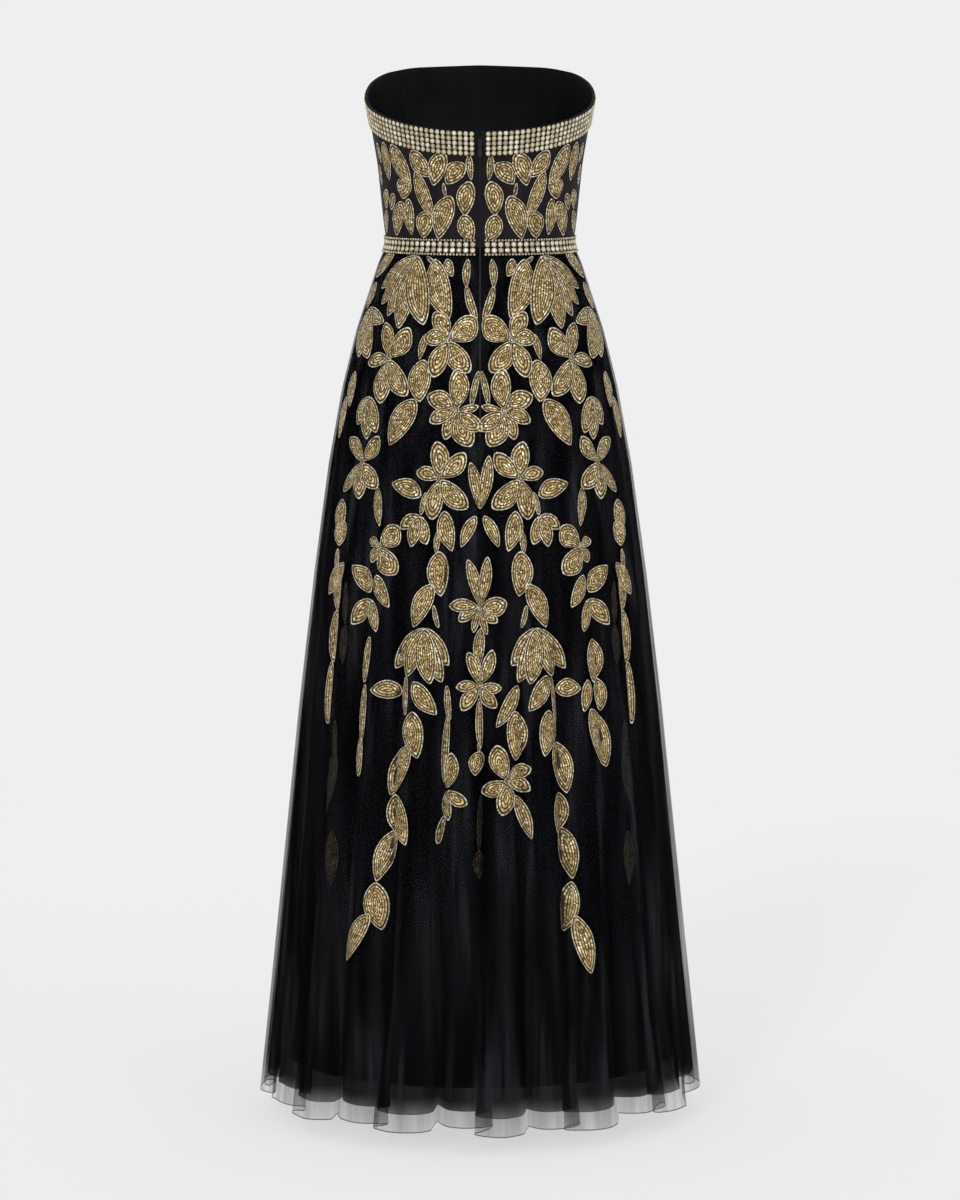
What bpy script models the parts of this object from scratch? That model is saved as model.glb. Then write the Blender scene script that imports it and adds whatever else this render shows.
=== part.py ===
"""Strapless a-line gown, as worn, hollow, with its centre back zip closed.

Metres, +Z up. The origin is the centre of the waist at the waist seam. The front faces -Y and
the back, with the zip, faces +Y. An angle, called turn, goes round the figure from centre back
(0) to the wearer's left side (90 degrees, +X), centre front (180) and the right side (270).
"""
import math

import bmesh
import bpy
from mathutils import Matrix, Vector
from mathutils.geometry import delaunay_2d_cdt

MM = 0.001
SEAM_GAP = 0.3 * MM  # between neighbouring pieces of cloth
SIDE_SEAM = math.radians(90)
SIDE_GAP = 0.0012  # radians, half of a side seam's gap
SHARP = math.radians(35)  # edges that turn by more than this stay crisp

# The garment's sections. Columns: height above the waist seam, half width at the sides,
# depth behind the centre and depth before it, all in mm.
SECTIONS = (
    (224, 151.5, 118, 117),
    (176, 143.5, 112, 120),
    (140, 137.0, 105.5, 119),
    (100, 130.2, 99, 111),
    (60, 126.2, 95, 102),
    (25, 122.6, 93, 95),
    (0, 119.0, 92, 92),
    (-25, 130.0, 104, 98),
    (-60, 141.4, 118, 106),
    (-110, 158.0, 136, 119),
    (-180, 175.6, 155, 138),
    (-280, 194.0, 175, 161),
    (-420, 213.2, 194, 184),
    (-600, 234.0, 211, 204),
    (-1105, 284.5, 246, 243),
)
HEM = -1105 * MM
BUST_TURN = math.radians(27)  # either side of centre front
BUST_SPREAD = math.radians(19)
BUST_HEIGHT = 150 * MM
BUST_DEPTH = 5 * MM

# The top edge. Columns: turn in degrees, height in mm.
TOP_EDGE = (
    (0, 145), (20, 147), (40, 153), (60, 163), (80, 175),
    (95, 188), (110, 203), (125, 214), (145, 221), (180, 224),
)

# The skirt's folds, all round. Columns: turn of the fold's hollow in degrees, depth in mm.
FOLDS = (
    (-1, 13), (12, 16), (27, 12), (43, 17), (57, 14), (76, 11),
    (93, 15), (109, 12), (127, 16), (141, 12), (160, 15), (177, 11),
    (194, 16), (213, 13), (229, 15), (247, 11), (264, 16), (286, 12),
    (303, 17), (319, 12), (335, 16), (347, 11),
)
FOLD_TOP = -130 * MM  # folds start here and grow to the hem
FOLD_GROWTH = 1.25
CREST_SHARE = 0.3  # a crest stands out by this share of its neighbours' depth
WIDE_FOLD = math.radians(9.2)  # a slope wider than this bends once more on its way
GUIDED = -180 * MM  # below this height the facets keep to the folds

# Where the cloth's facets bend, besides the folds
BODICE_ROWS = (25, 60, 100, 140, 176)  # heights in mm
BODICE_BACK = (16, 80)  # turns in degrees
BODICE_FRONT = (98, 262)
BODICE_STEP = 9
BESIDE_ZIP = math.radians(7.5)
RIM_MARGIN = 3 * MM  # facet corners keep this far below the top edge
NEAR_ZIP = math.radians(1)  # the overlay's columns on either side of the zip
ZIP_MARGIN = math.radians(1.7)  # no fold's column lies nearer to the zip
SEAM_MARGIN = math.radians(1.2)  # or to a side seam
TAPE_MARGIN = math.radians(7)  # or, under the overlay, to the tape
FRONT_ROW = -850 * MM  # one more level at the front, where no applique steadies the folds
UNDERSKIRT_SKIPS = (-60, -280)  # section heights, in mm, that a plain layer does without
LINING_SKIPS = (-60, -280, -600)

# Cloth walls and how far each layer's outer face lies outside the figure
CLOTH = 1.2 * MM
NET = 1.0 * MM
TAPE = 0.8 * MM
LINING_IN = CLOTH + SEAM_GAP
NET_IN = CLOTH + SEAM_GAP
SKIRT_LINING_IN = NET_IN + NET + SEAM_GAP
NET_STAND_OFF = 6 * MM  # the second net hangs this far inside the first at the hem
LINING_STAND_OFF = 27 * MM
LINING_FLARE = 1.1  # the lining leaves the skirt by this power of the height
NET_HEM = HEM + 21 * MM
LINING_HEM = HEM + 46 * MM
UNDER_SEAM = 0.3 * MM  # half of the underskirts' centre back seam gap

# Zip
ZIP_SLOT = 1.2 * MM  # half of the opening
ZIP_END = -232 * MM
TAPE_HALF = 11 * MM
TAPE_GAP = 0.5 * MM
RECESS = TAPE + 2 * TAPE_GAP - SEAM_GAP  # the layers inside the tape give way to it
RECESS_FLAT = 14 * MM
RECESS_END = 24 * MM
RECESS_BELOW = 12 * MM  # how far below the zip's end this goes on, then how far it fades
RECESS_FADE = 60 * MM
TAPE_ROWS = (-180, -110, -60, -25, 0, 25, 60, 100)  # heights in mm
TAPE_FOOT = 6 * MM  # below the zip's end
TAPE_DROP = 2 * MM  # from the top edge to the tape's top
UNDER_STEP = 2 * MM  # the underskirts' seam opens into the zip's slot over this height
SLIDER_HEIGHT = 131 * MM
SLIDER_SIZE = (4.6 * MM, 1.4 * MM, 8.4 * MM)  # across, out, along the zip
# The slider's outline, as shares of its width and length
SLIDER_OUTLINE = (
    (-0.5, -0.25), (-0.3, -0.5), (0.3, -0.5), (0.5, -0.25),
    (0.5, 0.35), (0.36, 0.5), (-0.36, 0.5), (-0.5, 0.35),
)
SLIDER_OFF = 0.3 * MM
SLIDER_SPAN = 4 * MM  # the zip's slope is taken this far above and below the slider
NECK_WIDTH = 1.6 * MM
NECK_SHARE = 0.3  # half of the neck's length as a share of the slider's
ARCH_INNER = 1.3 * MM
ARCH_OUTER = 2.1 * MM
ARCH_WIDTH = 1.1 * MM
ARCH_STEPS = 8
AXIS_OUT = 0.95 * MM  # the pull's axis above the slider's face
PULL_SIZE = (4.8 * MM, 0.8 * MM, 18 * MM)
# Half of the pull's outline. Columns: half width and way down, as shares of its size.
PULL_OUTLINE = ((0.42, 0.18), (0.3, 0.36), (0.5, 0.78), (0.34, 0.94))
PULL_TOP = 0.32  # half width at the top, as a share
PULL_BAR = 0.5 * MM  # from the axis to either side of the bar
PULL_HOLE = (2.2 * MM, 4.2 * MM)

# Bands of stones
BAND_OFF = 0.5 * MM
BAND_BASE = 1.0 * MM
STONE_RISE = 1.7 * MM
NECK_STONE = 6.1 * MM
NECK_ROWS = 5
NECK_COLUMNS = 116
NECK_GAP = 6.5 * MM  # from centre back to the band's end
NECK_DROP = 0.5 * MM  # from the top edge to the band
WAIST_STONE = 7.0 * MM
WAIST_EDGE = 3.3 * MM
WAIST_COLUMNS = 88
WAIST_GAP = 4.9 * MM

# Applique
APPLIQUE_RISE = 1.4 * MM
RAMP = 0.3  # share of a motif's radius over which it rises
# A flower's shape, in degrees or as shares of a petal's length and of the gap beside it
WIDEST_BESIDE = 75
PETAL_HALF = 0.24
PETAL_SHOULDER = 0.96
CLOSE_GAP = 34  # petals nearer to each other than this part late
CLOSE_NOTCH = 0.72
NOTCH = 0.42
FAN_GAP = 170  # a wider gap makes the flower a fan
FAN_ROOT = 5  # mm, how far a fan of petals reaches behind its root
STAR_TIP = 0.68
STAR_NOTCH = 0.62
NOTCH_RISE = 0.45
CHART_RADIUS = 150 * MM  # turn times this is the flat chart's across

# Leaves that both halves of the skirt share, repeated on the front like all that follow.
# Columns: across from the centre, height, length, width in mm, lean in degrees from straight
# down, positive where the lower end leans to the side seam.
SKIRT_LEAVES = (
    (52, -53, 72, 28, -22), (13, -46, 64, 10, -6),
    (69, -160, 54, 30, 5), (96, -213, 64, 27, 30), (165, -186, 84, 16, 9),
    (124, -321, 46, 13, -3), (147, -407, 44, 17, -37), (119, -425, 42, 17, -27),
    (90, -293, 44, 23, -71), (40, -349, 52, 20, -14), (48, -405, 54, 27, -3),
    (69, -440, 56, 23, 21), (14, -349, 42, 15, 25), (178, -342, 56, 20, 2),
    (192, -504, 90, 16, 3),
)
# Leaves of the wearer's left half, then of the right one
LEFT_LEAVES = (
    (144, -570, 120, 14, 3), (118, -549, 42, 24, 88), (69, -557, 48, 19, -37),
    (81, -602, 54, 27, -9), (101, -648, 62, 24, 21), (101, -711, 58, 27, -19),
    (119, -757, 60, 23, 18), (128, -819, 56, 27, -10), (154, -864, 62, 22, 29),
    (40, -596, 74, 12, -3),
)
RIGHT_LEAVES = (
    (143, -515, 54, 24, -3), (150, -612, 66, 27, 16),
    (110, -547, 27, 20, 90), (72, -556, 44, 19, -31),
    (83, -601, 52, 24, -8), (103, -645, 60, 24, 12), (101, -701, 46, 19, -5),
    (111, -752, 58, 22, 10), (113, -819, 58, 22, -9), (130, -871, 62, 22, 14),
    (34, -566, 46, 16, -28), (43, -604, 50, 26, -2), (55, -707, 48, 16, 20),
)
# Flowers that both halves share. Columns: across, height, then lean and length of each petal.
SKIRT_FLOWERS = (
    (78, -16, ((44, 62), (32, 72), (18, 84), (3, 82), (-9, 66))),
    (36, -109, ((24, 46), (147, 34), (231, 36), (335, 44))),
    (113, -138, ((10, 48), (60, 24), (120, 24), (165, 42), (213, 40), (328, 44))),
    (143, -84, ((8, 58), (-14, 50), (-80, 20))),
    (136, -190, ((34, 34), (8, 50), (-14, 42))),
    (27, -199, ((22, 40), (75, 34), (117, 42), (178, 48), (274, 22), (338, 44))),
    (146, -262, ((6, 42), (48, 36), (148, 34), (212, 34), (325, 34))),
    (50, -283, ((12, 48), (103, 28), (173, 44), (225, 42), (319, 46))),
    (127, -372, ((160, 22), (221, 34), (313, 36), (20, 16))),
    (76, -333, ((70, 25), (14, 38), (-16, 34))),
    (134, -440, ((42, 38), (-5, 35))),
    (69, -474, ((38, 54), (17, 58), (-5, 62), (-22, 66), (-40, 54))),
)
LEFT_FLOWERS = ((44, -671, ((-169, 38), (-90, 20), (-42, 32), (2, 38))),)
RIGHT_FLOWERS = ((33, -657, ((-165, 38), (-62, 28), (-8, 40), (66, 31), (115, 34))),)
# Flowers on the centre line. Columns: height, then lean and length of each petal.
CENTRE_FLOWERS = (
    (-322, ((165, 56), (195, 56))),
    (-440, ((10, 36), (46, 32), (96, 36), (150, 46), (210, 46), (264, 36), (314, 32), (350, 36))),
    (-540, ((35, 40), (75, 30), (150, 40), (210, 40), (285, 30), (325, 40))),
)
CENTRE_LEAVES = ((0, -594, 50, 9, 0), (2, -638, 30, 18, 8))

# Leaves on one half of the bodice, mirrored and repeated as on the skirt
BODICE_LEAVES = (
    (75, 104, 38, 18, -34), (52, 95, 38, 21, 20), (27, 92, 26, 20, 30), (10, 95, 30, 9, -8),
    (100, 106, 46, 22, -25), (71, 64, 60, 19, -20), (17, 61, 40, 20, 5), (42, 48, 60, 21, -12),
    (19, 26, 24, 16, -30), (68, 26, 22, 18, 0), (108, 47, 48, 17, -8), (90, 43, 42, 13, 8),
    (118, 101, 56, 16, -5), (122, 38, 44, 14, 4),
)
BAND_CLEARANCE = 2 * MM  # between applique and a band's edge
NEAREST = 0.5 * MM  # corners of a panel that lie nearer to each other than this become one


def lerp(a, b, share):
    return a + (b - a) * share


def smooth(share):
    share = min(max(share, 0.0), 1.0)
    return share * share * (3 - 2 * share)


def section(height):
    """Half width, depth behind and depth before, in metres, straight between the rows."""
    mm = height / MM
    for above, below in zip(SECTIONS, SECTIONS[1:]):
        if mm >= below[0] or below is SECTIONS[-1]:
            share = (mm - below[0]) / (above[0] - below[0])
            return [lerp(below[k], above[k], share) * MM for k in (1, 2, 3)]


def top_edge(turn):
    degrees = abs((math.degrees(turn) + 180) % 360 - 180)
    for (t0, h0), (t1, h1) in zip(TOP_EDGE, TOP_EDGE[1:]):
        if degrees <= t1:
            return lerp(h0, h1, (degrees - t0) / (t1 - t0)) * MM
    return TOP_EDGE[-1][1] * MM


def figure(turn, height, out=0.0):
    """A point that lies a distance outside the figure, square to its section."""
    half, behind, before = section(height)
    depth = behind if math.cos(turn) > 0 else before
    normal = Vector((math.sin(turn) / half, math.cos(turn) / depth, 0)).normalized()
    for side in (-1, 1):
        away = (turn - math.pi - side * BUST_TURN) / BUST_SPREAD
        level = (height - BUST_HEIGHT) / (BUST_HEIGHT / 2)
        if abs(away) < 3 and height > 0:
            out += BUST_DEPTH * math.exp(-away * away - level * level)
    return Vector((half * math.sin(turn), depth * math.cos(turn), height)) + normal * out


def girth_rate(turn, height):
    """Metres round the figure for each radian of turn."""
    step = 0.01
    return (figure(turn + step, height) - figure(turn - step, height)).length / (2 * step)


def fold_marks():
    """Turns of hollows and crests in order, each with its move outwards at the hem."""
    marks = []
    for k, (turn, depth) in enumerate(FOLDS):
        after, after_depth = FOLDS[(k + 1) % len(FOLDS)]
        if after < turn:
            after += 360
        marks.append((math.radians(turn), -depth * MM))
        crest = CREST_SHARE * (depth + after_depth) / 2
        marks.append((math.radians((turn + after) / 2), crest * MM))
    return marks


MARKS = fold_marks()
FULL = 2 * math.pi


def fold(turn, height):
    """How far a fold moves the skirt's cloth outwards."""
    grown = max(0.0, (FOLD_TOP - height) / (FOLD_TOP - HEM)) ** FOLD_GROWTH
    if grown == 0.0:
        return 0.0
    turn = (turn - MARKS[0][0]) % FULL + MARKS[0][0]
    for k, (start, move) in enumerate(MARKS):
        end, end_move = MARKS[(k + 1) % len(MARKS)]
        if end < start:
            end += FULL
        if start <= turn <= end:
            share = (1 - math.cos(math.pi * (turn - start) / (end - start))) / 2
            return lerp(move, end_move, share) * grown
    return 0.0


def recess(turn, height):
    """How far the inner layers give way behind the zip's tape."""
    turn = (turn + math.pi) % FULL - math.pi
    away = abs(turn) * girth_rate(0, height)
    side = 1 - smooth((away - RECESS_FLAT) / (RECESS_END - RECESS_FLAT))
    low = 1 - smooth((ZIP_END - RECESS_BELOW - height) / RECESS_FADE)
    return RECESS * side * low


def gown_face(out):
    """The outer cloth's face, moved out by a distance."""
    def place(turn, height, rise=0.0):
        return figure(turn, height, out + rise + fold(turn, height))
    return place


def lined_face(out):
    def place(turn, height, rise=0.0):
        return figure(turn, height, out + rise - recess(turn, height))
    return place


def net_face(out):
    def place(turn, height, rise=0.0):
        hang = NET_STAND_OFF * max(0.0, height / HEM)
        return figure(turn, height, out + rise - recess(turn, height) - hang + fold(turn, height))
    return place


def skirt_lining_face(out):
    def place(turn, height, rise=0.0):
        hang = LINING_STAND_OFF * max(0.0, height / HEM) ** LINING_FLARE
        return figure(turn, height, out + rise - recess(turn, height) - hang)
    return place


def material(name, colour, roughness, metallic=0.0):
    made = bpy.data.materials.new(name)
    made.use_nodes = True
    shader = made.node_tree.nodes["Principled BSDF"]
    shader.inputs["Base Color"].default_value = (*colour, 1.0)
    shader.inputs["Roughness"].default_value = roughness
    shader.inputs["Metallic"].default_value = metallic
    return made


def add_object(name, points, faces, finish):
    """An object from points and faces, with its faces triangulated and pointing out."""
    mesh = bpy.data.meshes.new(name)
    body = bmesh.new()
    corners = [body.verts.new(p) for p in points]
    for face in faces:
        body.faces.new([corners[k] for k in face])
    loose = [v for v in body.verts if not v.link_faces]
    bmesh.ops.delete(body, geom=loose, context="VERTS")
    bmesh.ops.triangulate(body, faces=body.faces)
    bmesh.ops.recalc_face_normals(body, faces=body.faces)
    body.to_mesh(mesh)
    body.free()
    mesh.shade_smooth()
    mesh.set_sharp_from_angle(angle=SHARP)
    mesh.materials.append(finish)
    made = bpy.data.objects.new(name, mesh)
    bpy.context.collection.objects.link(made)
    return made


def flat(turn, height):
    """A point of the flat chart in which panels are cut."""
    return Vector((turn * CHART_RADIUS, height))


class Motif:
    """A raised flower or leaf: its outline on the chart, and the raised line within it."""

    def __init__(self, outline, raised, heights):
        self.outline = outline
        self.centre = sum(outline, Vector((0, 0))) / len(outline)
        self.raised = raised
        self.heights = heights

    def radius_share(self, point):
        """0 at the centre, 1 on the outline and more outside it."""
        ray = point - self.centre
        for a, b in zip(self.outline, self.outline[1:] + self.outline[:1]):
            p, q = a - self.centre, b - self.centre
            area = p.x * q.y - p.y * q.x
            if abs(area) < 1e-12:
                continue
            s = (ray.x * q.y - ray.y * q.x) / area
            t = (p.x * ray.y - p.y * ray.x) / area
            if s >= -1e-9 and t >= -1e-9:
                return s + t
        return 2.0

    def rise(self, point):
        return APPLIQUE_RISE * min(1.0, max(0.0, (1 - self.radius_share(point)) / RAMP))


def chart_spot(across, height, middle, side):
    """The turn of a spot seen a distance to the side of the centre line."""
    half = section(height)[0]
    return middle + side * math.asin(min(across / half, 0.995))


def charted(points, across, height, middle, side):
    """Local (across, up) points of a motif, laid on the chart."""
    turn = chart_spot(across, height, middle, side)
    rate = girth_rate(turn, height)
    return [flat(turn + side * x / rate, height + y) for x, y in points]


LEAF_EDGE = ((0, 0.5), (0.5, 0.15), (0.44, -0.18), (0, -0.5), (-0.44, -0.18), (-0.5, 0.15))
LEAF_CREST = ((0, 0.33), (0.27, 0), (0, -0.33), (-0.27, 0))


def leaf_motif(row, middle, side):
    across, height, length, width, lean = row
    c, s = math.cos(math.radians(lean)), math.sin(math.radians(lean))
    lines = []
    for profile in (LEAF_EDGE, LEAF_CREST):
        points = []
        for w, l in profile:
            x, y = w * width * MM, l * length * MM
            points.append((x * c - y * s, x * s + y * c))
        lines.append(charted(points, across * MM, height * MM, middle, side))
    return Motif(*lines, [APPLIQUE_RISE] * len(LEAF_CREST))


def flower_motif(across, height, petals, middle, side):
    """A lobed outline with two corners at each petal's end and one in each notch, and a star."""
    petals = sorted((lean % 360, length) for lean, length in petals)
    gaps = [(petals[(k + 1) % len(petals)][0] - lean) % 360 for k, (lean, _) in enumerate(petals)]
    widest = gaps.index(max(gaps))
    order = petals[widest + 1:] + petals[:widest + 1]
    gaps = gaps[widest + 1:] + gaps[:widest + 1]
    edge, star, heights = [], [], []
    for k, (lean, length) in enumerate(order):
        half = PETAL_HALF * min(gaps[k - 1], gaps[k], WIDEST_BESIDE)
        edge.append((lean - half, length * PETAL_SHOULDER))
        edge.append((lean + half, length * PETAL_SHOULDER))
        star.append((lean, STAR_TIP * length))
        middle_lean = lean + gaps[k] / 2
        if max(gaps) < FAN_GAP or k < len(order) - 1:
            other = order[(k + 1) % len(order)][1]
            notch = (NOTCH if gaps[k] > CLOSE_GAP else CLOSE_NOTCH) * min(length, other)
            edge.append((middle_lean, notch))
            star.append((middle_lean, STAR_NOTCH * notch))
            heights += [APPLIQUE_RISE, NOTCH_RISE * APPLIQUE_RISE]
        else:
            edge.append((middle_lean, FAN_ROOT))
            heights.append(APPLIQUE_RISE)
    lines = []
    for polar in (edge, star):
        local = [
            (r * MM * math.sin(math.radians(a)), -r * MM * math.cos(math.radians(a)))
            for a, r in polar
        ]
        lines.append(charted(local, across * MM, height * MM, middle, side))
    return Motif(*lines, heights)


def half_motifs(leaves, flowers, middle, side):
    made = [leaf_motif(row, middle, side) for row in leaves]
    return made + [flower_motif(*row, middle, side) for row in flowers]


def bodice_motifs(middle):
    return half_motifs(BODICE_LEAVES, (), middle, 1) + half_motifs(BODICE_LEAVES, (), middle, -1)


def skirt_motifs(middle):
    made = half_motifs(SKIRT_LEAVES + LEFT_LEAVES, SKIRT_FLOWERS + LEFT_FLOWERS, middle, 1)
    made += half_motifs(SKIRT_LEAVES + RIGHT_LEAVES, SKIRT_FLOWERS + RIGHT_FLOWERS, middle, -1)
    made += [flower_motif(0, height, petals, middle, 1) for height, petals in CENTRE_FLOWERS]
    made += [leaf_motif(row, middle, 1) for row in CENTRE_LEAVES]
    return made


def spaced(first, last, step):
    """Turns from first to last in degrees, about a step apart."""
    count = max(1, round(abs(last - first) / step))
    return [math.radians(lerp(first, last, k / count)) for k in range(count + 1)]


def upright(turn, bottom, top, rows):
    """The points of a panel's upright edge, from its foot up."""
    return [(turn, z) for z in [bottom, *(z for z in rows if bottom < z < top), top]]


def panel_loop(left, right, columns, top):
    """A panel's outline on the chart, from its two edges and the columns between them."""
    inside = [c for c in columns if left[0][0] < c < right[0][0]]
    lower = [(c, left[0][1]) for c in inside]
    upper = [(c, top(c)) for c in reversed(inside)]
    return [left[0], *lower, *right, *upper, *reversed(left[1:])]


def slotted_loop(left, right, columns, top, rows, half):
    """The same, with a slot for the zip down from the middle of its top."""
    loop = panel_loop(left, right, columns, top)
    slot = upright(half, ZIP_END, top(0), rows)
    at = next(k for k, (c, z) in enumerate(loop) if k > len(columns) and c < 0)
    return loop[:at] + slot[::-1] + [(-c, z) for c, z in slot] + loop[at:]


def seam_edge(side, half_seam, slot, bottom, top, rows):
    """The centre back edge of a layer under the overlay: open to the zip's end, then sewn."""
    edge = upright(half_seam, bottom, ZIP_END, rows)
    edge += upright(slot, ZIP_END + UNDER_STEP, top, rows)
    return [(side * turn % FULL, z) for turn, z in edge]


def cut_face(loop, columns, rows, inside, motifs, guided_below):
    """Triangles over a panel. Returns the points, how far each rises, and the triangles."""
    spots = [flat(*p) for p in loop]
    edges = [(k, (k + 1) % len(loop)) for k in range(len(loop))]
    known = {}
    at = {p: k for k, p in enumerate(loop)}
    for column in columns:
        last = None
        for row in sorted(set(rows) | {z for c, z in loop if c == column}):
            here = at.get((column, row))
            if here is None and inside(column, row):
                here = len(spots)
                spots.append(flat(column, row))
            if row <= guided_below and here is not None and last is not None:
                edges.append((last, here))
            last = here
    for motif in motifs:
        level = [0.0] * len(motif.outline)
        for line, heights in ((motif.outline, level), (motif.raised, motif.heights)):
            first = len(spots)
            spots += line
            for k in range(len(line)):
                known[first + k] = heights[k]
                edges.append((first + k, first + (k + 1) % len(line)))
    points, _, faces, sources, _, _ = delaunay_2d_cdt(spots, edges, [], 1, NEAREST)
    rises = []
    for point, source in zip(points, sources):
        given = [known[k] for k in source if k in known]
        rises.append(given[0] if given else max([m.rise(point) for m in motifs], default=0.0))
    corner_of = {k: n for n, source in enumerate(sources) for k in source if k < len(loop)}
    rim = [corner_of[k] for k in range(len(loop))]
    return points, rises, [tuple(f) for f in faces], rim


def panel(name, finish, loop, columns, rows, inside, walls, motifs=(), guided_below=0.0):
    """A wall of cloth: its outer face, with any applique, its inner face, and the edge.

    Below a height, the cut lines keep to the columns, so that folds stay crisp."""
    outer, inner = walls
    grid = columns, rows, inside
    points, rises, faces, rim = cut_face(loop, *grid, motifs, guided_below)
    corners = [outer(p.x / CHART_RADIUS, p.y, r) for p, r in zip(points, rises)]
    back_points, _, back_faces, back_rim = cut_face(loop, *grid, (), guided_below)
    first = len(corners)
    corners += [inner(p.x / CHART_RADIUS, p.y) for p in back_points]
    solid = list(faces)
    solid += [tuple(first + k for k in reversed(f)) for f in back_faces]
    for k in range(len(rim)):
        after = (k + 1) % len(rim)
        a, b = rim[k], rim[after]
        c, d = first + back_rim[after], first + back_rim[k]
        solid += [(b, a, d), (b, d, c)]
    return add_object(name, corners, solid, finish)


def band(name, finish, lower, upper, gap, columns, shares, stone_rows, inner_levels):
    """A band of stones, each a four-sided point, thin at its edges and open at the zip."""
    first, last = gap, FULL - gap
    face = gown_face(BAND_OFF)
    corners, faces = [], []
    ends = (0, columns)
    edge_levels = (0, len(shares) - 1)
    for j in range(columns + 1):
        turn = lerp(first, last, j / columns)
        for level, share in enumerate(shares):
            thin = j in ends or level in edge_levels
            height = lerp(lower(turn), upper(turn), share)
            corners.append(face(turn, height, 0.0 if thin else BAND_BASE))
    count = len(shares)
    inner = {}
    for j in range(1, columns):
        turn = lerp(first, last, j / columns)
        for level in inner_levels[1:-1]:
            inner[j, level] = len(corners)
            height = lerp(lower(turn), upper(turn), shares[level])
            corners.append(face(turn, height))

    def under(j, level):
        return inner.get((j, level), j * count + level)

    for j in range(columns):
        for level in range(count - 1):
            a, b = j * count + level, (j + 1) * count + level
            quad = (a, b, b + 1, a + 1)
            if level in stone_rows:
                turn = lerp(first, last, (j + 0.5) / columns)
                share = (shares[level] + shares[level + 1]) / 2
                height = lerp(lower(turn), upper(turn), share)
                peak = len(corners)
                corners.append(face(turn, height, BAND_BASE + STONE_RISE))
                faces += [(quad[k], quad[(k + 1) % 4], peak) for k in range(4)]
            elif (j == 0) == (level == 0):
                faces += [(a, b, b + 1), (a, b + 1, a + 1)]
            else:
                faces += [(a, b, a + 1), (b, b + 1, a + 1)]
        for low, high in zip(inner_levels, inner_levels[1:]):
            near = list(range(low, high + 1)) if j == 0 else [low, high]
            far = list(range(low, high + 1)) if j == columns - 1 else [low, high]
            ring = [under(j, k) for k in near] + [under(j + 1, k) for k in reversed(far)]
            faces.append(tuple(ring))
    return add_object(name, corners, faces, finish)


def build_bodice(satin, lining):
    bottom = SEAM_GAP / 2
    rows = [bottom, *(h * MM for h in BODICE_ROWS)]

    def inside(turn, height):
        return bottom < height < top_edge(turn) - RIM_MARGIN

    def edge(turn):
        return upright(turn, bottom, top_edge(turn), rows)

    def trimmed(motifs):
        """The motifs that lie clear of both bands."""
        low = WAIST_STONE + WAIST_EDGE + BAND_CLEARANCE
        high = NECK_DROP + NECK_ROWS * NECK_STONE + BAND_CLEARANCE
        kept = []
        for motif in motifs:
            below_top = min(top_edge(p.x / CHART_RADIUS) - p.y for p in motif.outline)
            if min(p.y for p in motif.outline) > low and below_top > high:
                kept.append(motif)
        return kept

    walls = gown_face(0.0), gown_face(-CLOTH)
    leaves = trimmed(bodice_motifs(0.0))
    slot = ZIP_SLOT / girth_rate(0, SLIDER_HEIGHT)
    half_back = [slot, BESIDE_ZIP, *spaced(*BODICE_BACK, BODICE_STEP)]
    for name, side in (("bodice_back_left", 1), ("bodice_back_right", -1)):
        columns = sorted(side * c for c in half_back)
        low, high = sorted((side * slot, side * (SIDE_SEAM - SIDE_GAP)))
        loop = panel_loop(edge(low), edge(high), columns, top_edge)
        motifs = [m for m in leaves if m.centre.x * side > 0]
        panel(name, satin, loop, columns, rows, inside, walls, motifs)
    front = spaced(*BODICE_FRONT, BODICE_STEP)
    ends = edge(SIDE_SEAM + SIDE_GAP), edge(FULL - SIDE_SEAM - SIDE_GAP)
    loop = panel_loop(*ends, front, top_edge)
    motifs = trimmed(bodice_motifs(math.pi))
    panel("bodice_front", satin, loop, front, rows, inside, walls, motifs)

    columns = half_back + front + [FULL - c for c in reversed(half_back)]
    loop = panel_loop(edge(slot), edge(FULL - slot), columns, top_edge)
    walls = lined_face(-LINING_IN), lined_face(-LINING_IN - NET)
    panel("bodice_lining", lining, loop, columns, rows, inside, walls)


def fold_columns():
    """Turns at which the skirt's facets bend: every hollow and crest, and wide slopes' middles."""
    columns = []
    for k, (start, _) in enumerate(MARKS):
        end = MARKS[(k + 1) % len(MARKS)][0]
        end += FULL if end < start else 0
        columns.append(start % FULL)
        if end - start > WIDE_FOLD:
            columns.append((start + end) / 2 % FULL)
    return sorted(columns)


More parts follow.
